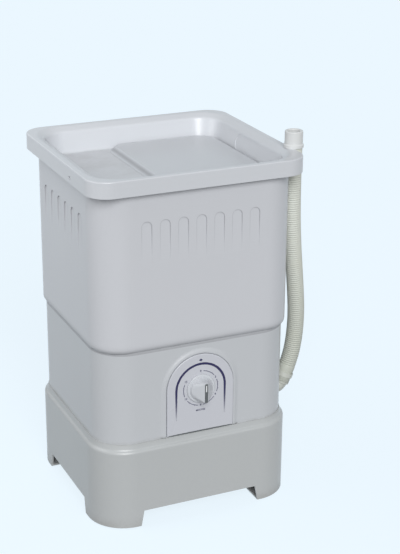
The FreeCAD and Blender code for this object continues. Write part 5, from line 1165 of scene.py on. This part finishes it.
@dataclass
class PanelPrint(FrontTrim):
    """Printed arch, index mark and dial of the control panel.

    Attributes:
        arch_half: Half the width of the arch.
        arch_drop: Knob's axis down to the ends of the arch's legs.
        arch_line: Width of its line.
        leg_loss: Share of that width which the legs lose towards their ends.
        leg_fade: Share of the ink that is gone at the legs' ends.
        leg_curve: Power with which the ink goes.
        index_rise: Knob's axis up to the index mark.
        index_size: Half the height of the index mark.
        index_aspect: Its width over its height.
        index_tip: Share of its height at its tips.
        index_steps: Points along it.
        dial: Radius of the dial's ring, on which the numbers stand.
        ring: Width of the ring's line.
        ring_step: Angle between points of the ring, in degrees.
        room: Angle between a number's middle and the ring's line next to it, in degrees.
        tick_length: Length of a minute's tick.
        tick_width: Width of a minute's tick.
        tick_steps: Points along a minute's tick.
        swing: Turn of the knob in degrees.
        marks: Numbers on the dial, in minutes.
        type_size: Height of the numbers' type.
        type_swell: Thickening of the type over its height.
        unit_share: Height of their unit's name over that of the numbers.
        unit_drop: Knob's axis down to the unit's name.
    """

    arch_half: float = 54.0
    arch_drop: float = 64.0
    arch_line: float = 5.0
    leg_loss: float = 0.5
    leg_fade: float = 0.95
    leg_curve: float = 2.6
    index_rise: float = 62.5
    index_size: float = 3.1
    index_aspect: float = 1.3
    index_tip: float = 0.06
    index_steps: int = 9
    dial: float = 38.0
    ring: float = 1.6
    ring_step: float = 2.0
    room: float = 9.0
    tick_length: float = 2.2
    tick_width: float = 0.8
    tick_steps: int = 4
    swing: float = 300.0
    marks: tuple[str, ...] = ("0", "3", "6", "9", "12", "15")
    type_size: float = 6.4
    type_swell: float = 1 / 45
    unit_share: float = 0.8
    unit_drop: float = 49.0

    def groups(self) -> list[Group]:
        """Bold marks in navy ink and fine ones in grey.

        Returns:
            The two groups.
        """
        bold, fine = self.dial_marks()
        bold += [self.printed_arch(), self.index_mark()]
        inks = ((bold, "navy_ink", NAVY), (fine, "grey_ink", GREY_INK))
        return [(pieces, PrintInk(name, colour, PANEL), "panel_plastic", Body.MACHINE)
                for pieces, name, colour in inks]

    def printed_arch(self) -> bpy.types.Object:
        """Printed arch whose legs narrow and fade towards their ends.

        Returns:
            The arch.
        """
        middle = self.axis[1]
        flat, out = self.arch(self.arch_half, middle, middle - self.arch_drop)
        drop = np.clip((middle - flat[:, 1]) / self.arch_drop, 0, 1)
        return self.strip("printed_arch", flat, out, self.arch_line, 1 - self.leg_loss * drop,
                          self.leg_fade * drop ** self.leg_curve)

    def index_mark(self) -> bpy.types.Object:
        """Index mark above the arch: a lozenge whose width grows and shrinks along its path.

        Returns:
            The mark.
        """
        middle = self.axis + np.array([0.0, self.index_rise])
        aside = np.array([self.index_size * self.index_aspect, 0.0])
        taper = np.clip(1.0 - np.abs(np.linspace(-1.0, 1.0, self.index_steps)), self.index_tip, 1.0)
        return self.straight("index_mark", middle - aside, middle + aside, 2 * self.index_size, taper)

    def arc(self, name: str, start: float, stop: float) -> bpy.types.Object:
        """Piece of the dial's ring between two angles clockwise from the top, in degrees."""
        out = clockwise(np.linspace(start, stop, int((stop - start) / self.ring_step)))
        return self.strip(name, self.axis + out * self.dial, out, self.ring)

    def tick(self, name: str, angle: float) -> bpy.types.Object:
        """Short mark outwards from the dial's ring, at an angle clockwise from the top."""
        start, away = self.axis + clockwise(angle) * self.dial, clockwise(angle) * self.tick_length
        return self.straight(name, start, start + away, self.tick_width, np.ones(self.tick_steps))

    def lettering(self, name: str, text: str, middle: np.ndarray, size: float) -> bpy.types.Object:
        """Thin upright type on the panel.

        Args:
            name: Piece name.
            text: The letters or figures.
            middle: X and Z of its middle.
            size: Height of the type.

        Returns:
            The type.
        """
        data = bpy.data.curves.new(name, "FONT")
        data.body = text
        data.size = size * MM
        data.align_x, data.align_y = "CENTER", "CENTER"
        data.extrude = (self.ink + self.sink) / 2 * MM
        data.offset = size * self.type_swell * MM
        mesh = mesh_of(name, data)
        spot = Vector((middle[0], self.face - (self.ink - self.sink) / 2, middle[1])) * MM
        mesh.transform(Matrix.Translation(spot) @ Matrix.Rotation(math.pi / 2, 4, "X"))
        keep_values(mesh, "fade", np.zeros(len(mesh.vertices)))
        return add_piece(name, mesh)

    def dial_marks(self) -> tuple[list[bpy.types.Object], list[bpy.types.Object]]:
        """Numbers with their unit, and between them the ring's pieces with a tick for each minute.

        Returns:
            The bold marks and the fine ones.
        """
        unit = self.axis - np.array([0.0, self.unit_drop])
        bold = [self.lettering("dial_unit", "MINUTES", unit, self.type_size * self.unit_share)]
        minute = self.swing / int(self.marks[-1])
        angles = [int(text) * minute for text in self.marks]
        for text, angle in zip(self.marks, angles):
            middle = self.axis + clockwise(angle) * self.dial
            bold.append(self.lettering(f"dial_number_{text}", text, middle, self.type_size))
        fine = []
        for text, start, stop in zip(self.marks, angles, angles[1:]):
            fine.append(self.arc(f"dial_ring_{text}", start + self.room, stop - self.room))
            fine += [self.tick(f"dial_minute_{round(angle / minute)}", angle)
                     for angle in np.arange(start + minute, stop - minute / 2, minute)]
        return bold, fine


@dataclass
class KnobTrim(FrontTrim):
    """Dark insert on the blade of the knob, with its pale line.

    Attributes:
        insert_half: Half the length of the insert.
        insert_width: Its width.
        insert_sink: How far it reaches into the blade.
        line_span: Knob's axis up to the ends of the line.
        line_width: Width of the line.
        end_loss: Share of the width which both lose at their ends.
        steps: Points along each.
    """

    insert_half: float = 20.8
    insert_width: float = 7.2
    insert_sink: float = 0.4
    line_span: tuple[float, float] = (3.0, 17.0)
    line_width: float = 2.2
    end_loss: float = 0.06
    steps: int = 12

    def groups(self) -> list[Group]:
        """The insert, and the line in white ink on it.

        Returns:
            The two groups.
        """
        half = self.insert_half
        insert = self.on_blade("knob_insert", -half, half, self.insert_width, 0.0, self.insert_sink)
        line = self.on_blade("knob_line", *self.line_span, self.line_width, self.ink, self.sink)
        white = PrintInk("white_ink", WHITE_INK, INSERT_AND_SHADOW)
        return [([insert], INSERT_AND_SHADOW_PLASTIC, "knob_plastic", Body.KNOB),
                ([line], white, "knob_plastic", Body.KNOB)]

    def on_blade(self, name: str, low: float, high: float, width: float, rise: float,
                 sink: float) -> bpy.types.Object:
        """Upright strip on the front of the knob's blade.

        Args:
            name: Piece name.
            low: Lower end from the knob's axis.
            high: Upper end from it.
            width: Width.
            rise: How far its back lies in front of the blade.
            sink: How far it reaches back from there.

        Returns:
            The strip.
        """
        start, stop = (self.axis + np.array([0.0, end]) for end in (low, high))
        taper = np.ones(self.steps)
        taper[[0, -1]] -= self.end_loss
        return self.straight(name, start, stop, width, taper, face=self.blade - rise, sink=sink)


class Casings:
    """Finishes of the solids, by node."""

    def __init__(self) -> None:
        """Reads X and Y of the motor's axis from the frame, in metres."""
        low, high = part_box("motor_shaft")
        self.motor = ((low[0] + high[0]) / 2, (low[1] + high[1]) / 2)

    def shells(self) -> dict[str, Finish]:
        """Finishes of the casings and of what is seen or felt from outside.

        Returns:
            Finishes by node.
        """
        side, back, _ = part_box("wash_tub")[1]
        flutes = (FluteRow("X", "Y", back, pitch=0.0385, count=7),
                  FluteRow("Y", "X", side, pitch=0.040, count=6))
        # Finishes given these settings take painted shade in their bands in place of dirt.
        painted_shade = {"dirt_and_shade": PAINTED_SHADE, "patchy": 0.15}
        smooth = {"grain": 0.00002, "mottle": 0.35, "scuff": 0.3}
        base = MouldedPlastic("base_plastic", BASE, 0.36, scuff=0.8,
                              dirt_and_shade_bands=(DirtAndShadeBand(0.0, 0.030, 0.40), DirtAndShadeBand(BASE_TOP, 0.006, 0.20)))
        pulsator = MouldedPlastic("pulsator_plastic", PULSATOR, 0.30, dirt_and_shade_bands=(DirtAndShadeBand(TUB_FLOOR, 0.006, 0.3),))
        return {
            # The tub gets painted shade: a dark band along its lower edge, and shade on the outlines of its
            # flutes.
            "wash_tub": FlutedPlastic("tub_plastic", TUB, dirt_and_shade_bands=(DirtAndShadeBand(TUB_EDGE, 0.025, 0.55),), rows=flutes,
                                      **painted_shade),
            "lower_cabinet": CABINET_PLASTIC,
            "top_deck": MouldedPlastic("rim_plastic", RIM, 0.32, dirt_and_shade_bands=(DirtAndShadeBand(TRAY_FLOOR, 0.006, 0.18),)),
            # The lid gets a dark band of painted shade along its sloped edge.
            "lid_panel": MouldedPlastic("lid_plastic", SHADED_LID, 0.33, scuff=0.8,
                                        dirt_and_shade_bands=(DirtAndShadeBand(LID_SLOPE, 0.0046, 0.62),), **painted_shade),
            "base_stand": base, "rear_cover": base,
            "control_panel": MouldedPlastic("panel_plastic", PANEL, 0.30, **smooth),
            "timer_knob": MouldedPlastic("knob_plastic", KNOB, 0.22, shine=0.6, **smooth),
            "hose_nozzle": MouldedPlastic("nozzle_plastic", NOZZLE, 0.36),
            "drain_hose": MouldedPlastic("hose_core_plastic", HOSE, 0.42),
            "hose_clamp": MouldedPlastic("clamp_plastic", tinted(HOSE, 0.80), 0.46),
            "drain_elbow": MouldedPlastic("pipe_plastic", tinted(HOSE, 0.74), 0.46, grain=0.00005),
            "pulsator": pulsator, "drain_strainer": pulsator,
            "foot_pads": Rubber("pad_rubber", (0.024, 0.024, 0.024), 0.45),
        }

    def drive(self) -> dict[str, Finish]:
        """Finishes of the shaft, its bearings, the belt and its pulleys.

        Returns:
            Finishes by node.
        """
        ground = Metal("ground_shaft", (0.56, 0.57, 0.59), 0.24, tarnish_share=0.15)
        bronze = Metal("sintered_bronze", (0.46, 0.29, 0.12), 0.48, Lay.CAST, tarnish=(0.10, 0.07, 0.03))
        return {
            "drive_shaft": ground, "timer_shaft": ground, "shaft_bushes": bronze,
            "shaft_seal": Rubber("seal_rubber", (0.028, 0.026, 0.025), 0.10, ribbed=0.0016),
            "bearing_housing": Metal("cast_housing", (0.54, 0.55, 0.56), 0.48, Lay.CAST),
            "driven_pulley": Metal("turned_pulley", (0.62, 0.63, 0.64), 0.32, Lay.TURNED),
            "motor_pulley": Metal("turned_motor_pulley", (0.60, 0.61, 0.62), 0.30, Lay.TURNED, self.motor),
            "v_belt": Rubber("belt_rubber", (0.026, 0.026, 0.028), 0.20, ribbed=0.0012),
            "pulsator_screw": Metal("stainless_screw", (0.66, 0.66, 0.66), 0.22, Lay.TURNED),
        }

    def power(self) -> dict[str, Finish]:
        """Finishes of the motor, its bracket and the electric pieces.

        Returns:
            Finishes by node.
        """
        black = MouldedPlastic("insulating_plastic", (0.022, 0.022, 0.025), 0.45, grain=0.00006)
        shield = Metal("cast_shield", (0.55, 0.56, 0.57), 0.46, Lay.CAST)
        lead = Rubber("lead_jacket", (0.030, 0.030, 0.033), 0.15)
        low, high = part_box("motor_rotor")
        stack = (low[2], high[2])
        return {
            "motor_upper_shield": shield, "motor_lower_shield": shield,
            "motor_case": Enamel("motor_enamel", (0.040, 0.044, 0.052)),
            "motor_bracket": Enamel("bracket_enamel", (0.034, 0.034, 0.036), 0.40),
            "motor_shaft": Metal("motor_shaft_steel", (0.55, 0.56, 0.58), 0.26, tarnish_share=0.2),
            "motor_bearings": Metal("bearing_steel", (0.58, 0.59, 0.61), 0.20, Lay.TURNED, self.motor),
            "motor_rotor": Metal("rotor_stack", (0.33, 0.32, 0.32), 0.42, Lay.STACKED),
            "motor_stator": Metal("stator_stack", (0.30, 0.29, 0.29), 0.46, Lay.STACKED, winding=stack),
            "rubber_mounts": Rubber("mount_rubber", (0.020, 0.020, 0.021), 0.25, ribbed=0.002),
            "capacitor": MouldedPlastic("capacitor_plastic", CAPACITOR, 0.42, grain=0.00004),
            "capacitor_clip": Metal("clip_steel", (0.58, 0.58, 0.60), 0.34),
            "timer_case": black, "terminal_block": black, "cord_gland": black,
            "motor_lead": lead, "timer_lead": lead, "supply_lead": lead,
        }

    def build(self) -> None:
        """Dresses every node with its finish; what the tables don't name is a zinc-plated fastener."""
        zinc = Metal("zinc_screw", (0.62, 0.63, 0.66), 0.30, Lay.TURNED)
        table = {**self.shells(), **self.drive(), **self.power()}
        for node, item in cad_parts.items():
            finish = table.get(node, zinc)
            dress(item, finish)
            LOG.info("%s: %s", node, finish.name)


@dataclass(frozen=True)
class Lamp:
    """Soft lamp, distant or near.

    Attributes:
        name: Lamp name.
        towards: Direction in which its light travels.
        strength: Strength of a distant lamp, or power of a near one in watts.
        spread: Width of a distant lamp in degrees, or side of a near square one in metres.
        at: Middle of a near lamp, or none for a distant one.
    """

    name: str
    towards: Point
    strength: float
    spread: float
    at: Point | None = None

    def build(self) -> None:
        """Adds the lamp to the scene."""
        data = bpy.data.lights.new(self.name, "AREA" if self.at else "SUN")
        data.energy = self.strength
        item = add_piece(self.name, data)
        if self.at:
            data.size = self.spread
            item.location = self.at
        else:
            data.angle = math.radians(self.spread)
        item.rotation_mode = "QUATERNION"
        item.rotation_quaternion = Vector(self.towards).to_track_quat("-Z", "Y")


@dataclass
class Studio:
    """Floor, world, lamps and the camera at the photograph's angle, in metres and degrees.

    Attributes:
        backdrop: Colour behind the machine.
        sky: Colour of the even light.
        sky_level: Strength of the even light.
        lamps: A distant lamp, and one at the left that is near enough to fade towards the floor.
        floor_half: Half the floor's side.
        floor_lines: Lines of points each way on the floor.
        floor_drop: How far the floor lies below the feet.
        floor_grey: Colour that the floor throws back on the machine.
        floor_shade: Share of the floor's seen colour that takes light and shadow.
        azimuth: Camera's angle round the machine.
        elevation: Camera's angle above level.
        roll: Camera's roll.
        distance: Camera to its target.
        target: Point that the camera looks at.
        lens: Focal length in millimetres.
        sensor: Height of the camera's sensor in millimetres.
    """

    backdrop: Colour = srgb(235, 247, 255)
    sky: Colour = (1.0, 1.0, 1.0)
    sky_level: float = 0.275
    lamps: tuple[Lamp, ...] = (Lamp("key", (0.22, 0.83, -0.51), 2.54, 36.0),
                               Lamp("side", (0.78, -0.12, -0.50), 3.1, 0.7, (-1.0, 0.12, 1.1)))
    floor_half: float = 30.0
    floor_lines: int = 5
    floor_drop: float = 0.0005
    floor_grey: float = 0.28
    floor_shade: float = 0.14
    azimuth: float = -24.59
    elevation: float = 21.02
    roll: float = 0.46
    distance: float = 3.00336
    target: Point = (0.0852, -0.0085, 0.4503)
    lens: float = 91.50
    sensor: float = 36.0

    def camera(self) -> None:
        """Places the camera: back along azimuth and elevation from its target, then rolled."""
        turn, rise, roll = (math.radians(a) for a in (self.azimuth, self.elevation, self.roll))
        back = Vector((math.sin(turn) * math.cos(rise), -math.cos(turn) * math.cos(rise), math.sin(rise)))
        level = Vector((math.cos(turn), math.sin(turn), 0.0))
        tall = back.cross(level)
        right = level * math.cos(roll) + tall * math.sin(roll)
        axes = Matrix((right, back.cross(right), back)).transposed().to_4x4()
        data = bpy.data.cameras.new("camera")
        data.sensor_fit = "VERTICAL"
        data.sensor_height = self.sensor
        data.lens = self.lens
        item = add_piece("camera", data)
        item.matrix_world = Matrix.Translation(Vector(self.target) + back * self.distance) @ axes
        bpy.context.scene.camera = item

    def world(self) -> None:
        """Even light from all round, and the backdrop's colour where it is seen."""
        g = Graph(bpy.data.worlds.new("studio"))
        light = g.node("ShaderNodeBackground", None, {"Color": self.sky, "Strength": self.sky_level})
        view = g.node("ShaderNodeBackground", None, {"Color": self.backdrop})
        both = g.node("ShaderNodeMixShader", None, {0: g.in_sight(), 1: light, 2: view})
        bpy.context.scene.world = g.shown(both)

    def floor(self) -> None:
        """Pale floor that shows the backdrop's colour and keeps a soft shadow.

        The light on open floor is the even light plus each distant lamp's strength x its slope / pi; the
        floor's own glow makes up what that leaves of the backdrop's colour.
        """
        side = np.linspace(-self.floor_half, self.floor_half, self.floor_lines)
        x, y = np.meshgrid(side, side)
        item = grid_piece("floor", np.stack([x, y, np.full_like(x, -self.floor_drop)], axis=-1), around=False)
        distant = [lamp for lamp in self.lamps if lamp.at is None]
        open_light = self.sky_level + sum(
            lamp.strength * -Vector(lamp.towards).normalized().z / math.pi for lamp in distant)
        g = Graph(bpy.data.materials.new("floor"))
        rest = 1 - self.floor_shade * open_light
        glow = g.node("ShaderNodeEmission", None, {"Color": self.backdrop, "Strength": rest})
        shade = g.node("ShaderNodeBsdfDiffuse", None, {"Color": tinted(self.backdrop, self.floor_shade)})
        bounce = g.node("ShaderNodeBsdfDiffuse", None, {"Color": (self.floor_grey,) * 3})
        seen = g.node("ShaderNodeAddShader", None, {0: glow, 1: shade})
        both = g.node("ShaderNodeMixShader", None, {0: g.in_sight(), 1: bounce, 2: seen})
        item.data.materials.append(g.shown(both))

    def build(self) -> None:
        """Sets up the whole studio."""
        bpy.context.scene.view_settings.view_transform = "Standard"
        self.camera()
        self.floor()
        self.world()
        for lamp in self.lamps:
            lamp.build()


def main() -> None:
    """Builds the looks in order."""
    logging.basicConfig(level=logging.INFO, format="%(name)s: %(message)s")
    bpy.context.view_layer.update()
    for part in (Studio(), Casings(), Hose(), PanelPrint(), KnobTrim(), PanelEdge()):
        part.build()
    bpy.context.view_layer.update()


if __name__ == "__main__":
    main()
